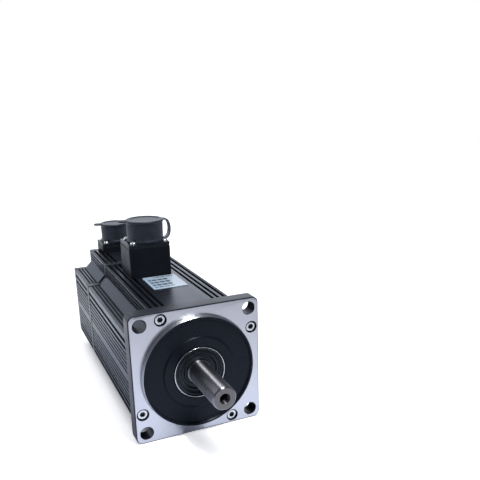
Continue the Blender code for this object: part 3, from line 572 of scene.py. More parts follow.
def carve(bm, cutter_bms, op="DIFFERENCE", bevel=0.0, seg=2):
    """Booleans in millimetres; gives back a bmesh."""
    ob = solid_of(bm)
    cs = [solid_of(c, "cut") for c in cutter_bms]
    for c in cs:
        mo = ob.modifiers.new("b", "BOOLEAN")
        mo.operation = op
        mo.solver = "EXACT"
        mo.object = c
    if bevel:
        be = ob.modifiers.new("e", "BEVEL")
        be.width = bevel
        be.segments = seg
        be.limit_method = "ANGLE"
        be.angle_limit = math.radians(38)
    dg = bpy.context.evaluated_depsgraph_get()
    me = bpy.data.meshes.new_from_object(ob.evaluated_get(dg))
    out = bmesh.new()
    out.from_mesh(me)
    for o in cs + [ob]:
        d = o.data
        bpy.data.objects.remove(o, do_unlink=True)
        bpy.data.meshes.remove(d)
    bpy.data.meshes.remove(me)
    return out


# ---------------------------------------------------------------- front flange
def flange():
    bm = bmesh.new()
    n = 160
    hole = lambda x, z, r, k=56: circle(r, k, x, z)
    # front face and back face share the outer wall
    outer = rounded(0, 0, FLANGE["sq"], FLANGE["sq"], FLANGE["r"], 10)
    c = FLANGE["ch"]
    rows = [ring_verts(bm, inset(outer, c), 0.0, at_y), ring_verts(bm, inset(outer, c * 0.35), c * 0.30, at_y),
            ring_verts(bm, outer, c, at_y), ring_verts(bm, outer, FLANGE["t"] - 0.7, at_y),
            ring_verts(bm, inset(outer, 0.2), FLANGE["t"] - 0.2, at_y), ring_verts(bm, inset(outer, 0.7), FLANGE["t"], at_y)]
    walls(bm, rows)
    front, back = [rows[0]], [rows[-1]]
    for sx in (-1, 1):
        for sz in (-1, 1):
            x, z = sx * BOLT, sz * BOLT
            hr = [ring_verts(bm, hole(x, z, BOLT_R + 0.25), 0.0, at_y), ring_verts(bm, hole(x, z, BOLT_R), 0.3, at_y),
                  ring_verts(bm, hole(x, z, BOLT_R), FLANGE["t"] - 0.3, at_y), ring_verts(bm, hole(x, z, BOLT_R + 0.3), FLANGE["t"], at_y)]
            walls(bm, hr)
            front.append(hr[0])
            back.append(hr[-1])
    for x, z in FLANGE_SCREWS:
        hr = [ring_verts(bm, hole(x, z, 5.2, 48), 0.0, at_y), ring_verts(bm, hole(x, z, 5.0, 48), 0.25, at_y),
              ring_verts(bm, hole(x, z, 5.0, 48), 6.2, at_y), ring_verts(bm, hole(x, z, 4.8, 48), 6.4, at_y),
              ring_verts(bm, hole(x, z, 2.9, 48), 6.4, at_y), ring_verts(bm, hole(x, z, 2.9, 48), FLANGE["t"], at_y)]
        walls(bm, hr)
        front.append(hr[0])
        back.append(hr[-1])
    # turned middle: relief groove, spigot, face, boss, seal bore, bearing seat, register
    prof = fillet([(48.1, 0.0, 0), (47.75, 0.3), (PILOT_R, 0.3), (PILOT_R, -PILOT_H + 0.55), (PILOT_R - 0.5, -PILOT_H, 0.15),
                   (45.5, -PILOT_H, 0.2), (45.1, -PILOT_H + 0.5), (45.0, -3.2, 0.5), (30.6, -3.2, 0.6), (30.1, -4.3, 0.4),
                   (29.4, -4.6, 0.4), (22.6, -4.24), (21.95, -3.7), (21.9, 3.2), (12.5, 3.2), (12.5, 5.7), (23.8, 5.7),
                   (23.8, 21.0), (29.0, 21.0), (29.0, 17.0), (44.7, 17.0), (44.7, 13.0, 0)], 0.15, 3, closed=False)
    lr = lathe(bm, prof, n)
    front.append(lr[0])
    back.append(lr[-1])
    cap(bm, front)
    cap(bm, back)

    def pick(c_, nrm):
        r = math.hypot(c_.x, c_.z)
        if nrm.y < -0.95 and abs(c_.y) < 0.02 and r > 47.0:
            return 1
        if 47.05 < r < 48.3 and c_.y < 0.45:
            return 2
        if r < 24.5 and c_.y > 3.0:
            return 1
        if r > 44 and c_.y > 13.01:
            return 1
        if r < 46.95 and c_.y < -2.9:
            return 3
        return 0
    return finish_mesh("flange_casting", bm, [CAST, MACHINED, SPIGOT, PILOT], "motor", ["front_flange"], 32, pick)


flange()

# ---------------------------------------------------------------- finned bodies
SIDE_FINE = [17.3 - 4.05 * k for k in range(5)] + [-8.0 - 4.0 * k for k in range(5)]
SIDE_WIDE = [28.3, 22.1, -28.3, -33.4]
TOP_WIDE = [21.4, 26.1, 31.2]


def body_outline(half, bevel, fins=True, depth=3.0):
    pts = []

    def face(to_xz, lo, hi, slots):
        pts.append(to_xz(hi, half))
        for t, w in sorted(slots, reverse=True) if fins else []:
            for a, b in ((t + w / 2, half), (t + w / 2, half - depth), (t - w / 2, half - depth), (t - w / 2, half)):
                pts.append(to_xz(a, b))
        pts.append(to_xz(lo, half))

    def notch(sx, sz, zf, from_top):
        seq = []
        if fins:
            for k in range(3):
                z = half - 3.0 - 3.1 * k
                seq += [(FACE, z + 0.8), (FACE - 1.3, z + 0.8), (FACE - 1.3, z - 0.8), (FACE, z - 0.8)]
        seq += [(FACE, zf + bevel), (FACE + bevel, zf)]
        if fins:
            for k in range(3):
                x = FACE + bevel + 1.6 + 3.2 * k
                seq += [(x - 0.8, zf), (x - 0.8, zf - 1.3), (x + 0.8, zf - 1.3), (x + 0.8, zf)]
        if not from_top:
            seq = seq[::-1]
        return [(sx * a, sz * b) for a, b in seq]

    top = [(s * t, 2.4) for t in TOP_WIDE for s in (1, -1)]
    side = [(t, 1.7) for t in SIDE_FINE] + [(t, 3.0) for t in SIDE_WIDE]
    face(lambda t, n: (t, n), -FACE, FACE, top)
    pts.extend(notch(-1, 1, FACE, True))
    face(lambda t, n: (-n, t), -FACE_LOW, FACE, side)
    pts.extend(notch(-1, -1, FACE_LOW, False))
    face(lambda t, n: (-t, -n), -FACE, FACE, top)
    pts.extend(notch(1, -1, FACE_LOW, True))
    face(lambda t, n: (n, -t), -FACE, FACE_LOW, [(-t, w) for t, w in side])
    pts.extend(notch(1, 1, FACE, False))
    return pts


FINNED = fillet(body_outline(HALF, 7.0), 0.32, 2)
PLAIN = fillet(body_outline(HALF, 5.3, fins=False), 0.7, 4)
if area(FINNED) < 0:
    FINNED = FINNED[::-1]
if area(PLAIN) < 0:
    PLAIN = PLAIN[::-1]


def extrusion(name, nodes, y0, y1, extra=()):
    bm = bmesh.new()
    holes = [(circle(45.0, 128), 0.3, 0.3)] + [(circle(2.5, 20, x, z), 0.0, 0.0) for x, z in extra]
    slab(bm, FINNED, y0, y1, at_y, 0.12, 0.12, holes)

    def pick(c, n):
        # walls and bottoms of the cooling slots, a little below the skin, take the darker, duller copy of the
        # anodising: painted shade in the slots
        a, b = abs(c.x), abs(c.z)
        skin = HALF - 0.45
        if abs(n.y) > 0.5 or math.hypot(c.x, c.z) < 45.5:
            return 0
        if (a < FACE - 1.5 and HALF - 3.3 < b < skin) or (b < FACE and HALF - 3.3 < a < skin):
            return 1
        # the small grooves by the notches get the same painted shade
        ledge = FACE if c.z > 0 else FACE_LOW
        if (a > 42.4 and ledge - 1.5 < b < ledge - 0.3) or (b > 43.5 and FACE - 1.5 < a < FACE - 0.3):
            return 1
        return 0
    return finish_mesh(name, bm, [ANODISED, SLOT_SHADE], "motor", nodes, 34, pick)


extrusion("stator_extrusion", ["stator_housing"], 13.3, 159.7)
extrusion("encoder_extrusion", ["encoder_housing"], 170.3, 231.7, TIES)


def shield():
    bm = bmesh.new()
    slab(bm, PLAIN, 162.0, 170.0, at_y, 0.35, 0.35, [(circle(13.0, 48), 0.3, 0.3)] + [(circle(2.5, 20, x, z), 0, 0) for x, z in TIES], steps=2)
    finish_mesh("mid_plate", bm, [CAST], "motor", ["rear_end_shield"], 34)
    # neck into the housing and the bearing seat, behind the dark gap line
    bm = bmesh.new()
    neck = fillet([(x * 0.965, z * 0.965) for x, z in body_outline(HALF, 5.3, fins=False)], 0.5, 2)
    if area(neck) < 0:
        neck = neck[::-1]
    slab(bm, neck, 160.0, 161.98, at_y, 0, 0, [(circle(20.3, 64), 0, 0)] + [(circle(2.5, 20, x, z), 0, 0) for x, z in TIES])
    finish_mesh("mid_plate_neck", bm, [CAST], "motor", (), 34)
    bm = bmesh.new()
    lathe(bm, fillet([(20.3, 146.5), (24.0, 146.5), (24.0, 154.0), (40.0, 154.0), (40.0, 152.0), (44.7, 152.0), (44.7, 159.9), (20.3, 159.9)], 0.4, 2),
          96, closed=True)
    finish_mesh("rear_bearing_seat", bm, [CAST], "motor", (), 34)


shield()


def rear_cover():
    bm = bmesh.new()
    outer = PLAIN
    slab(bm, outer, 232.0, 240.0, at_y, 0.35, 0.6, [(circle(3.6, 36, x, z), 0.0, 0.2) for x, z in TIES], steps=2)
    # floor of each counterbore, with the clearance hole in it
    for x, z in TIES:
        lathe(bm, [(2.3, 232.1), (3.55, 232.1), (3.55, 235.6), (2.3, 235.6)], 36, x, z, closed=True)
    finish_mesh("rear_plate", bm, [CAST], "motor", ["rear_cover"], 34)
    bm = bmesh.new()
    lathe(bm, fillet([(41.5, 229.0), (44.7, 229.0), (44.7, 231.95), (41.5, 231.95)], 0.3, 2), 96, closed=True)
    finish_mesh("rear_plate_spigot", bm, [CAST], "motor", (), 34)


rear_cover()


# ------------------------------------------------------------------- fasteners
def hex_at(r, n):
    """n points round a hexagon whose corners are at radius r."""
    out = []
    for i in range(n):
        a = 2 * math.pi * i / n
        k = (a % (math.pi / 3)) - math.pi / 6
        rr = r * math.cos(math.pi / 6) / math.cos(k)
        out.append((rr * math.cos(a), rr * math.sin(a)))
    return out


def socket_screw(name, x, z, y_under, rh, hh, shank, length, s, hexr, nodes, face_mat=ZINC):
    bm = bmesh.new()
    n = 72
    top = y_under + s * hh

    def loop(pts, y):
        return [bm.verts.new((x + p[0], y, z + p[1])) for p in pts]

    def knurl(r, y, amp):
        pts = []
        for i in range(n):
            a = 2 * math.pi * i / n
            q = r + amp * (1 if i % 2 else -1)
            pts.append((q * math.cos(a), q * math.sin(a)))
        return loop(pts, y)
    c = lambda r: circle(r, n)
    rows = [loop([(0.02 * math.cos(2 * math.pi * i / n), 0.02 * math.sin(2 * math.pi * i / n)) for i in range(n)], top - s * (0.62 * hh + 0.4)),
            loop(c(hexr * 0.62), top - s * 0.62 * hh), loop(hex_at(hexr, n), top - s * 0.60 * hh), loop(hex_at(hexr, n), top - s * 0.25),
            loop(hex_at(hexr + 0.18, n), top - s * 0.05),
            loop(c(hexr + 0.45), top), loop(c(rh - 0.75), top), loop(c(rh - 0.35), top - s * 0.12), loop(c(rh - 0.08), top - s * 0.45),
            knurl(rh - 0.06, top - s * 0.8, 0.05), knurl(rh - 0.06, y_under + s * 0.5, 0.05), loop(c(rh - 0.05), y_under + s * 0.3),
            loop(c(rh - 0.3), y_under), loop(c(shank), y_under)]
    y = y_under
    while (y_under - (y)) * s < length - 1.0:
        y -= s * 0.9
        rows.append(loop(c(shank - 0.0), y))
        y -= s * 0.9
        rows.append(loop(c(shank - 0.25), y))
    rows.append(loop(c(0.02), y - s * 0.3))
    walls(bm, rows)

    # faces inside the hex socket take the dark socket metal: painted shade
    def pick(cc, nn):
        r = math.hypot(cc.x - x, cc.z - z)
        if (top - cc.y) * s > 0.12 and r < hexr + 0.05 and (cc.y - y_under) * s > 0:
            return 1
        return 0
    return finish_mesh(name, bm, [face_mat, SOCKET_SHADE], "motor", nodes, 30, pick, solid=True)


for i, (x, z) in enumerate(FLANGE_SCREWS):
    socket_screw("flange_cap_screw_%d" % (i + 1), x, z, 6.1, 4.25, 5.0, 2.15, 20.0, -1, 2.3, ["flange_screw_%d" % (i + 1)])
for i, (x, z) in enumerate(TIES):
    socket_screw("rear_cap_screw_%d" % (i + 1), x, z, 235.7, 3.3, 4.0, 2.0, 84.0, 1, 1.8, ["tie_bolt_%d" % (i + 1)], BLACK_STEEL)


# ---------------------------------------------------------------- shaft and seal
def shaft():
    bm = bmesh.new()
    thread = []
    y = -53.2
    while y < -38.5:
        thread += [(3.3, y), (2.9, y + 0.45)]
        y += 0.9
    prof = [(0.0, -37.4)] + thread[::-1] + [(3.3, -53.6), (3.3, -53.9), (4.3, -54.98), (4.5, -55.0)]
    tail = [(9.5 - 1.0, -55.0, 0.15), (9.5, -54.0, 0.25), (9.5, -4.1, 0.05), (9.3, -3.95, 0.05), (9.3, -3.75, 0.05), (10.0, -3.55, 0.15), (10.0, 20.3, 0.1),
            (13.0, 20.3, 0.3), (13.0, 30.0, 0), (14.0, 30.0, 0.2), (14.0, 136.0, 0.2), (11.5, 136.0, 0.2), (11.5, 147.7, 0.2), (8.5, 147.7, 0.2),
            (8.5, 163.0, 0.2), (4.0, 164.0, 0.2), (4.0, 184.0, 0.3), (0.0, 184.0)]
    prof = prof + fillet([(4.5, -55.0)] + tail, 0.1, 3, closed=False)[1:]
    lathe(bm, prof, 144)

    def pick(c, n):
        r = math.hypot(c.x, c.z)
        if c.y < -54.6 and r > 3.9 and n.y < -0.9:
            return 1
        if c.y < -37 and r < 4.0:
            return 2
        return 0
    return finish_mesh("polished_shaft", bm, [SHAFT, SHAFT_END, BLACK_STEEL], "rotor", ["rotor_shaft"], 28, pick)


shaft()


def seal():
    bm = bmesh.new()
    lathe(bm, fillet([(10.35, -2.2), (11.6, -2.5), (12.2, -2.3), (12.8, -0.9), (14.4, -0.9), (14.9, -1.5), (15.4, -2.35), (16.3, -2.55), (17.0, -2.3),
                      (17.5, -1.9), (18.1, -2.3), (18.7, -3.1), (19.4, -3.45), (20.2, -3.4), (20.6, -3.0), (20.6, 2.9), (18.8, 2.9), (18.8, 0.8), (10.35, 0.8)],
                     0.25, 3), 128, closed=True)
    finish_mesh("seal_lips", bm, [SEAL], "motor", ["oil_seal"], 38)
    bm = bmesh.new()
    lathe(bm, fillet([(20.85, -4.55), (21.15, -4.75), (21.55, -4.6), (21.65, -4.3), (21.65, 2.9), (20.85, 2.9)], 0.15, 3), 144, closed=True)
    finish_mesh("seal_ring", bm, [SEAL_CASE], "motor", ["oil_seal_case"], 38)


seal()


# -------------------------------------------------------------------- nameplate
def nameplate():
    bm = bmesh.new()
    slab(bm, rounded(0.5, 79.8, 31.0, 39.0, 1.5, 6), HALF + 0.05, HALF + 0.45, at_z, 0.0, 0.12)
    finish_mesh("rating_label", bm, [LABEL], "motor", ["nameplate"], 40)


nameplate()


# ------------------------------------------------------------------- connectors
def connector(tag, c, pins):
    x, y0, w, d, mouth = c["x"], c["y"], c["w"], c["d"], c["mouth"]
    cy = y0 + d / 2
    z0 = HALF + 0.3
    z1 = z0 + c["base"]
    zg = z1 + 0.3
    zp = zg + 1.2
    zt = zp + 2.2
    inn = 3.9
    corners = [(x + sx * (w / 2 - inn), cy + sy * (d / 2 - inn)) for sx in (-1, 1) for sy in (-1, 1)]
    well = min(w, d) - 11.0 if c["base"] > 10 else 2 * mouth - 8.0
    more = 2.4 if c["base"] > 10 else 1.4
    bx, by, bw, bd = x - 0.6, cy + more / 2, w + 1.4, d + more
    # terminal box with straight walls and an eased top edge
    bm = bmesh.new()
    rows = []
    levels = [(z0 - 0.25, 0.0), (z0 + 0.5, 0.0), (z1 - 0.6, 0.0), (z1 - 0.18, 0.18), (z1, 0.6)]
    for h, ins in levels:
        rows.append(ring_verts(bm, inset(rounded(bx, by, bw, bd, 2.0, 6), ins), h, at_z))
    walls(bm, rows)
    wl = rounded(x, cy, well, well, well * 0.3, 6)
    wr = [ring_verts(bm, wl, z0 - 0.25, at_z), ring_verts(bm, wl, z1, at_z)]
    walls(bm, wr)
    cap(bm, [rows[0], wr[0]])
    cap(bm, [rows[-1], wr[-1]])
    finish_mesh(tag + "_box", bm, [BOX], "motor", [tag + "_terminal_box"], 40)
    # gasket
    bm = bmesh.new()
    slab(bm, rounded(bx, by, bw - 0.5, bd - 0.5, 2.0, 6), z1 + 0.02, zp - 0.02, at_z, 0.2, 0.2, [(circle(mouth - 0.9, 64, x, cy), 0, 0)])
    finish_mesh(tag + "_gasket_sheet", bm, [SEAL], "motor", [tag + "_gasket"], 40)
    # receptacle: plate, round shell with a coupling thread, pin insert
    bm = bmesh.new()
    holes = [(circle(mouth - 0.8, 96, x, cy), 0.0, 0.0)] + [(circle(1.6, 24, a, b), 0.0, 0.0) for a, b in corners]
    slab(bm, rounded(bx, by, bw, bd, 2.0, 6), zp, zt, at_z, 0.25, 0.35, holes, steps=2)
    finish_mesh(tag + "_plate", bm, [CAST], "motor", [tag + "_receptacle"], 34)
    bm = bmesh.new()
    prof = [(mouth - 1.6, zt + 13.5), (mouth - 0.4, zt + 13.5), (mouth, zt + 13.1)]
    h = zt + 12.6
    while h > zt + 7.4:
        prof += [(mouth, h), (mouth - 0.35, h - 0.45)]
        h -= 0.9
    prof += [(mouth, zt + 6.6), (mouth, zt + 0.02), (mouth - 1.6, zt + 0.02)]
    lathe(bm, prof, 96, x, cy, "Z", closed=True)
    finish_mesh(tag + "_shell", bm, [ZINC], "motor", (), 30)
    bm = bmesh.new()
    slab(bm, circle(mouth - 1.9, 72, x, cy), zp + 0.3, zt + 3.0, at_z, 0.2, 0.4)
    finish_mesh(tag + "_insert", bm, [INSULATOR], "motor", [tag + "_pin_insert"], 40)
    bm = bmesh.new()
    pr = 0.9 if len(pins) > 6 else 1.4
    for a, b in pins:
        lathe(bm, [(0.0, zt + 8.0), (pr * 0.55, zt + 7.85), (pr * 0.9, zt + 7.3), (pr, zt + 6.6), (pr, zt + 2.9), (0.0, zt + 2.9)], 20, x + a, cy + b, "Z")
    finish_mesh(tag + "_pins", bm, [BRASS], "motor", (), 40)
    # pan head screws on washers
    for i, (a, b) in enumerate(corners):
        pan_screw("%s_pan_screw_%d" % (tag, i + 1), a, b, zt, -min(8.0, c["base"] + 2.0), 0.5 + 0.9 * i, ["%s_screw_%d" % (tag, i + 1)])
    dust_cap(tag, c, x, cy, zt, mouth, corners)


def pan_screw(name, a, b, zt, deep, turn, nodes):
    head = bmesh.new()
    lathe(head, fillet([(0.0, zt + 2.55), (1.2, zt + 2.5, 0.6), (2.3, zt + 2.1, 0.6), (2.78, zt + 1.3, 0.4), (2.75, zt + 0.95, 0.1), (1.3, zt + 0.95), (1.3, zt + deep),
                        (0.0, zt + deep)], 0.15, 4, closed=False), 40, a, b, "Z")
    cuts = []
    for k in range(2):
        t = turn + k * math.pi / 2
        cb = bmesh.new()
        m = Matrix.Translation((a, b, zt + 2.5)) @ Matrix.Rotation(t, 4, "Z")
        bmesh.ops.create_cone(cb, cap_ends=True, segments=4, radius1=1.0, radius2=1.75, depth=1.9,
                              matrix=m @ Matrix.Diagonal((1.0, 0.30, 1.0, 1.0)) @ Matrix.Rotation(math.pi / 4, 4, "Z"))
        cuts.append(cb)
    bm = carve(head, cuts)
    # split washer and flat washer
    lathe(bm, fillet([(1.5, zt + 0.42), (2.55, zt + 0.42), (2.6, zt + 0.92), (1.5, zt + 0.92)], 0.1, 2), 40, a, b, "Z", closed=True)
    lathe(bm, fillet([(1.5, zt + 0.02), (3.0, zt + 0.02), (3.0, zt + 0.40), (1.5, zt + 0.40)], 0.1, 2), 40, a, b, "Z", closed=True)
    return finish_mesh(name, bm, [ZINC], "motor", nodes, 32)


def dust_cap(tag, c, x, cy, zt, mouth, corners):
    r, top = c["cap_r"], c["cap_top"]
    zb = zt + 0.5
    bm = bmesh.new()
    prof = fillet([(0.0, top - 0.75), (r - 3.4, top - 0.75, 0.8), (r - 2.7, top - 0.1, 0.5), (r - 0.4, top, 0.6), (r + 0.5, top - 0.45, 0.5), (r + 0.6, top - 1.3, 0.4),
                   (r + 0.45, top - 2.3, 0.4), (r - 0.05, top - 2.8, 0.3), (r - 0.1, top - 4.0, 0), (r - 0.35, zb + 3.0, 0.5), (r - 0.1, zb + 2.2, 0.4), (r + 0.15, zb + 1.7, 0.3),
                   (r + 0.2, zb + 0.2, 0.2), (r - 0.1, zb, 0.1), (mouth + 0.5, zb, 0.1), (mouth + 0.5, zt + 14.6, 0.3), (0.0, zt + 14.6)], 0.2, 3, closed=False)
    lathe(bm, prof, 128, x, cy, "Z")
    # pull tab: a flat tongue that leaves the rim on the left
    tb = bmesh.new()
    tongue = []
    x0, x1, hw = x - r + 1.0, x - r - 7.2, 4.4
    n = 20
    outline = [(x0, cy - hw), (x0, cy + hw)]
    outline += [(x0 - 3.0, cy + hw * 0.92), (x1 + 4.2, cy + hw * 0.98)]
    for i in range(n + 1):
        t = math.pi / 2 + math.pi * i / n
        outline.append((x1 + 4.2 + 4.2 * math.cos(t) , cy + hw * 0.98 * math.sin(t)))
    outline += [(x0 - 3.0, cy - hw * 0.92)]
    if area(outline) < 0:
        outline = outline[::-1]
    ca, sa = math.cos(math.radians(-14)), math.sin(math.radians(-14))
    swing = lambda pts: [(x + (p[0] - x) * ca - (p[1] - cy) * sa, cy + (p[0] - x) * sa + (p[1] - cy) * ca) for p in pts]
    outline = swing(outline)
    slab(tb, outline, top - 2.15, top - 0.55, at_z, 0.35, 0.35, steps=2)
    parts = [tb]
    for k in range(3):
        rb = bmesh.new()
        xx = x1 + 1.9 + 1.5 * k
        slab(rb, swing(fillet([(xx - 0.35, cy - 2.6), (xx + 0.35, cy - 2.6), (xx + 0.35, cy + 2.6), (xx - 0.35, cy + 2.6)], 0.3, 3)), top - 0.7, top - 0.42, at_z, 0, 0.1)
        parts.append(rb)
    bm = carve(bm, [tb], "UNION")
    for rb in parts[1:]:
        me = bpy.data.meshes.new("t")
        rb.to_mesh(me)
        rb.free()
        bm.from_mesh(me)
        bpy.data.meshes.remove(me)
    reach = 0.5 * math.hypot(c["w"] - 7.8, c["d"] - 7.8)
    if r + 0.2 > reach - 3.6:
        cut = bmesh.new()
        for a, b in corners:
            lathe(cut, [(0.0, zb - 1), (3.4, zb - 1), (3.4, zb + 3.0), (2.9, zb + 3.4), (0.0, zb + 3.4)], 32, a, b, "Z")
        bm = carve(bm, [cut])
    finish_mesh(tag + "_rubber_cap", bm, [RUBBER], tag + "_cap", [tag + "_dust_cap"], 36)
    # strap: a flat band from the base plate, bowed out and up to the rim
    bow = 5.5
    lo, hi = zt + 0.9, top - 1.5
    zc, hh = 0.5 * (lo + hi), 0.5 * (hi - lo)
    xin = x + r + 0.9
    path = [(xin - 2.0, lo)]
    n = 36
    for i in range(n + 1):
        t = math.pi * (i / n - 0.5)
        path.append((xin + 0.3 + bow * math.cos(t) ** 0.8 if abs(math.cos(t)) > 1e-6 else xin + 0.3, zc + hh * math.sin(t)))
    path.append((xin - 1.2, hi))
    P = np.array(path)
    T = np.gradient(P, axis=0)
    T /= np.linalg.norm(T, axis=1, keepdims=True)
    N = np.stack([T[:, 1], -T[:, 0]], 1)
    bm = bmesh.new()
    th, wd = 0.85, 3.1
    sect = fillet([(-th, -wd), (th, -wd), (th, wd), (-th, wd)], 0.4, 3)
    rows = []
    for p, nn in zip(P, N):
        rows.append([bm.verts.new((p[0] + nn[0] * a, cy + b, p[1] + nn[1] * a)) for a, b in sect])
    walls(bm, rows)
    cap(bm, [rows[0]])
    cap(bm, [rows[-1]])
    strap = finish_mesh(tag + "_strap_band", bm, [STRAP], None, (), 40)
    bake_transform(strap)
    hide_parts(tag + "_cap_strap")
    # ring under the cap that carries the strap on the plate
    bm = bmesh.new()
    slab(bm, rounded(xin - 1.9, cy, 3.4, 6.4, 1.2, 5), zt + 0.05, zt + 1.5, at_z, 0.0, 0.4, steps=2)
    finish_mesh(tag + "_strap_foot", bm, [RUBBER], "motor", (), 40)


BRASS = metal("pin_brass", (0.55, 0.36, 0.12), (0.75, 0.55, 0.22), 0.2, 1.0, grain=900.0, depth=0.1, blotch=300.0)
PWR_PINS = [(6.2 * math.cos(a), 6.2 * math.sin(a)) for a in (math.radians(45 + 90 * k) for k in range(4))]
ENC_PINS = [(5.2 * math.cos(2 * math.pi * k / 8), 5.2 * math.sin(2 * math.pi * k / 8)) for k in range(8)]
connector("power", PWR, PWR_PINS)
connector("encoder", ENC, ENC_PINS)

# ------------------------------------------------------------- carried-over nodes
kept = {"rotor_core": INNER["lam"], "stator_core": INNER["lam"], "stator_winding": INNER["cu"], "encoder_board": INNER["pcb"],
        "encoder_disc": INNER["glass"], "encoder_reader": INSULATOR, "encoder_mount": CAST, "encoder_hub": BEARING, "wave_washer": BEARING}
for name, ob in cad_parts.items():
    if ob.hide_render:
        continue
    mat = kept.get(name)
    if mat is None and "magnet" in name:
        mat = MAGNET
    if mat is None:
        mat = BEARING
    if not ob.data.materials:
        ob.data.materials.append(mat)
    for s in ob.material_slots:
        s.material = mat

# ------------------------------------------------------------ floor, light, camera
scene = bpy.context.scene
scene.view_settings.view_transform = "Standard"
scene.view_settings.look = "None"
scene.view_settings.exposure = 0.0

bm = bmesh.new()
n = 64
lathe_rows = []
prof = [(0.02, 0.0), (400.0, 0.0), (2600.0, 0.0)]
for r, h in prof:
    lathe_rows.append([bm.verts.new((q[0] * 0.001, q[1] * 0.001, h)) for q in circle(r, n)])
walls(bm, lathe_rows)
me = bpy.data.meshes.new("studio_floor")
bm.to_mesh(me)
bm.free()
floor = bpy.data.objects.new("studio_floor", me)
floor.location = (0, 0, -0.0002)
scene.collection.objects.link(floor)
fm, nt, b = tree("floor_paint_painted_light")
fv = noise(nt, coords(nt), 3.0, 3.0)
lp = node(nt, "ShaderNodeLightPath")
seen = mix(nt, fv, (0.88, 0.88, 0.90), (0.91, 0.91, 0.93))
fsep = node(nt, "ShaderNodeSeparateXYZ")
nt.links.new(coords(nt), fsep.inputs[0])
fx, fy = fsep.outputs["X"], maths(nt, "ADD", fsep.outputs["Y"], 0.02)
far = maths(nt, "SQRT", maths(nt, "ADD", maths(nt, "MULTIPLY", fx, fx), maths(nt, "MULTIPLY", fy, fy)))
# the colour the floor shows to everything but the camera darkens away from the motor: painted shade that shapes what
# the motor reflects
painted_reflection_tone = ramp(nt, far, [(0.0, (0.70, 0.74, 0.86)), (0.13, (0.64, 0.68, 0.79)), (0.28, (0.47, 0.48, 0.53)), (0.6, (0.34, 0.35, 0.38))])
# the strip along the left side is paler towards the rear: painted light in what the motor's left side reflects
painted_strip_tone = ramp(nt, span(nt, fsep.outputs["Y"], 0.0, 1.0, 0.0, 0.3), [(0.15, (0.50, 0.52, 0.60)), (0.4, (0.62, 0.65, 0.74)), (0.68, (0.95, 0.97, 1.0))])
painted_reflection_tone = mix(nt, span(nt, fsep.outputs["X"], 0.0, 1.0, -0.045, -0.075), painted_reflection_tone, painted_strip_tone)
nt.links.new(mix(nt, lp.outputs["Is Camera Ray"], painted_reflection_tone, seen), b.inputs["Base Color"])
# painted light: for camera rays the floor glows, more with distance from the motor, and the glow is left out under the
# motor's footprint so only its real shadow shows there
b.inputs["Emission Color"].default_value = (1.0, 1.0, 1.0, 1.0)
ax = maths(nt, "ABSOLUTE", fsep.outputs["X"])
ay = maths(nt, "ABSOLUTE", maths(nt, "SUBTRACT", fsep.outputs["Y"], 0.026))
beside = maths(nt, "MAXIMUM", maths(nt, "SUBTRACT", ax, 0.052), maths(nt, "SUBTRACT", ay, 0.118))
under = node(nt, "ShaderNodeMapRange", interpolation_type="SMOOTHSTEP")
for k, v in (("From Min", -0.012), ("From Max", 0.004), ("To Min", 0.0), ("To Max", 0.56)):
    under.inputs[k].default_value = v
nt.links.new(beside, under.inputs["Value"])
camera_glow = maths(nt, "ADD", under.outputs["Result"], span(nt, far, 0.0, 0.5, 0.35, 1.6))
nt.links.new(maths(nt, "MULTIPLY", lp.outputs["Is Camera Ray"], camera_glow), b.inputs["Emission Strength"])
nt.links.new(span(nt, fv, 0.6, 0.75), b.inputs["Roughness"])
b.inputs["Specular IOR Level"].default_value = 0.2
me.materials.append(fm)

world = bpy.data.worlds.new("studio")
scene.world = world
world.use_nodes = True
wt = world.node_tree
bg = wt.nodes["Background"]
tc = node(wt, "ShaderNodeTexCoord")
sep = node(wt, "ShaderNodeSeparateXYZ")
wt.links.new(tc.outputs["Generated"], sep.inputs[0])
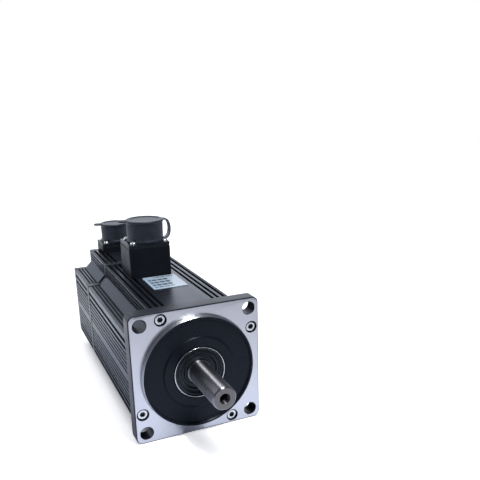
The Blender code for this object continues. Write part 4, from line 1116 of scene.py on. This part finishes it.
# pale walls behind the object, a dim room in front of it
tone = ramp(wt, span(wt, sep.outputs["Y"], 0.0, 1.0, -1.0, 1.0),
            [(0.0, (0.10, 0.11, 0.14)), (0.42, (0.20, 0.21, 0.25)), (0.75, (0.62, 0.65, 0.74)), (1.0, (0.86, 0.89, 1.0))])
over = ramp(wt, span(wt, sep.outputs["Z"], 0.0, 1.0, 0.0, 1.0),
            [(0.0, (1.0, 1.0, 1.0)), (0.5, (0.75, 0.75, 0.76)), (1.0, (0.9, 0.9, 0.9))])
both = node(wt, "ShaderNodeMix", data_type="RGBA", blend_type="MULTIPLY")
both.inputs[0].default_value = 1.0
wt.links.new(tone, both.inputs[6])
wt.links.new(over, both.inputs[7])
wlp = node(wt, "ShaderNodeLightPath")
wt.links.new(mix(wt, wlp.outputs["Is Camera Ray"], both.outputs[2], (1.0, 1.0, 1.0)), bg.inputs["Color"])
bg.inputs["Strength"].default_value = 1.0


def area_light(name, loc, aim, size, power, color=(1, 1, 1), size_y=None):
    l = bpy.data.lights.new(name, "AREA")
    l.energy = power
    l.color = color
    l.shape = "RECTANGLE"
    l.size = size
    l.size_y = size_y or size
    o = bpy.data.objects.new(name, l)
    o.location = loc
    o.visible_camera = False
    o.rotation_euler = (Vector(aim) - Vector(loc)).to_track_quat("-Z", "Y").to_euler()
    scene.collection.objects.link(o)
    return o


soft = area_light("key_top", (0.075, -0.26, 0.82), (0.0, -0.06, 0.05), 0.16, 6.5, size_y=0.85)
area_light("spark", (0.075, -0.42, 0.86), (0, -0.08, 0.05), 0.045, 4.5)
area_light("back_left", (-0.75, 0.6, 0.75), (0, 0, 0.05), 0.7, 2.8, (0.95, 0.96, 1.0))
glow = area_light("back_wall_glow", (0.62, 1.5, 0.55), (0, 0, 0.08), 0.9, 1.4, (0.96, 0.97, 1.0), 0.55)


# camera, from the same dimensions in millimetres
AZ, EL, ROLL, DIST, TX, TZ, F, PPY = -24.39, 17.61, -1.19, 481.59, 38.80, 62.54, 596.61, 290.0
az, el, ro = (math.radians(v) for v in (AZ, EL, ROLL))
back = Vector((math.sin(az) * math.cos(el), -math.cos(az) * math.cos(el), math.sin(el)))
right = (-back).cross(Vector((0, 0, 1))).normalized()
up = right.cross(-back)
r2 = right * math.cos(ro) + up * math.sin(ro)
u2 = -right * math.sin(ro) + up * math.cos(ro)
pos = Vector((TX, 0, TZ)) + back * DIST
cam_data = bpy.data.cameras.new("camera")
cam = bpy.data.objects.new("camera", cam_data)
scene.collection.objects.link(cam)
cam.matrix_world = Matrix.Translation(put(pos)) @ Matrix((r2, u2, back)).transposed().to_4x4()
cam_data.sensor_width = 36.0
cam_data.lens = F / 480.0 * 36.0
cam_data.shift_x = 0.0
cam_data.shift_y = (PPY - 240.0) / 480.0
cam_data.clip_start, cam_data.clip_end = 0.01, 20.0
cam_data.dof.use_dof = False
scene.camera = cam
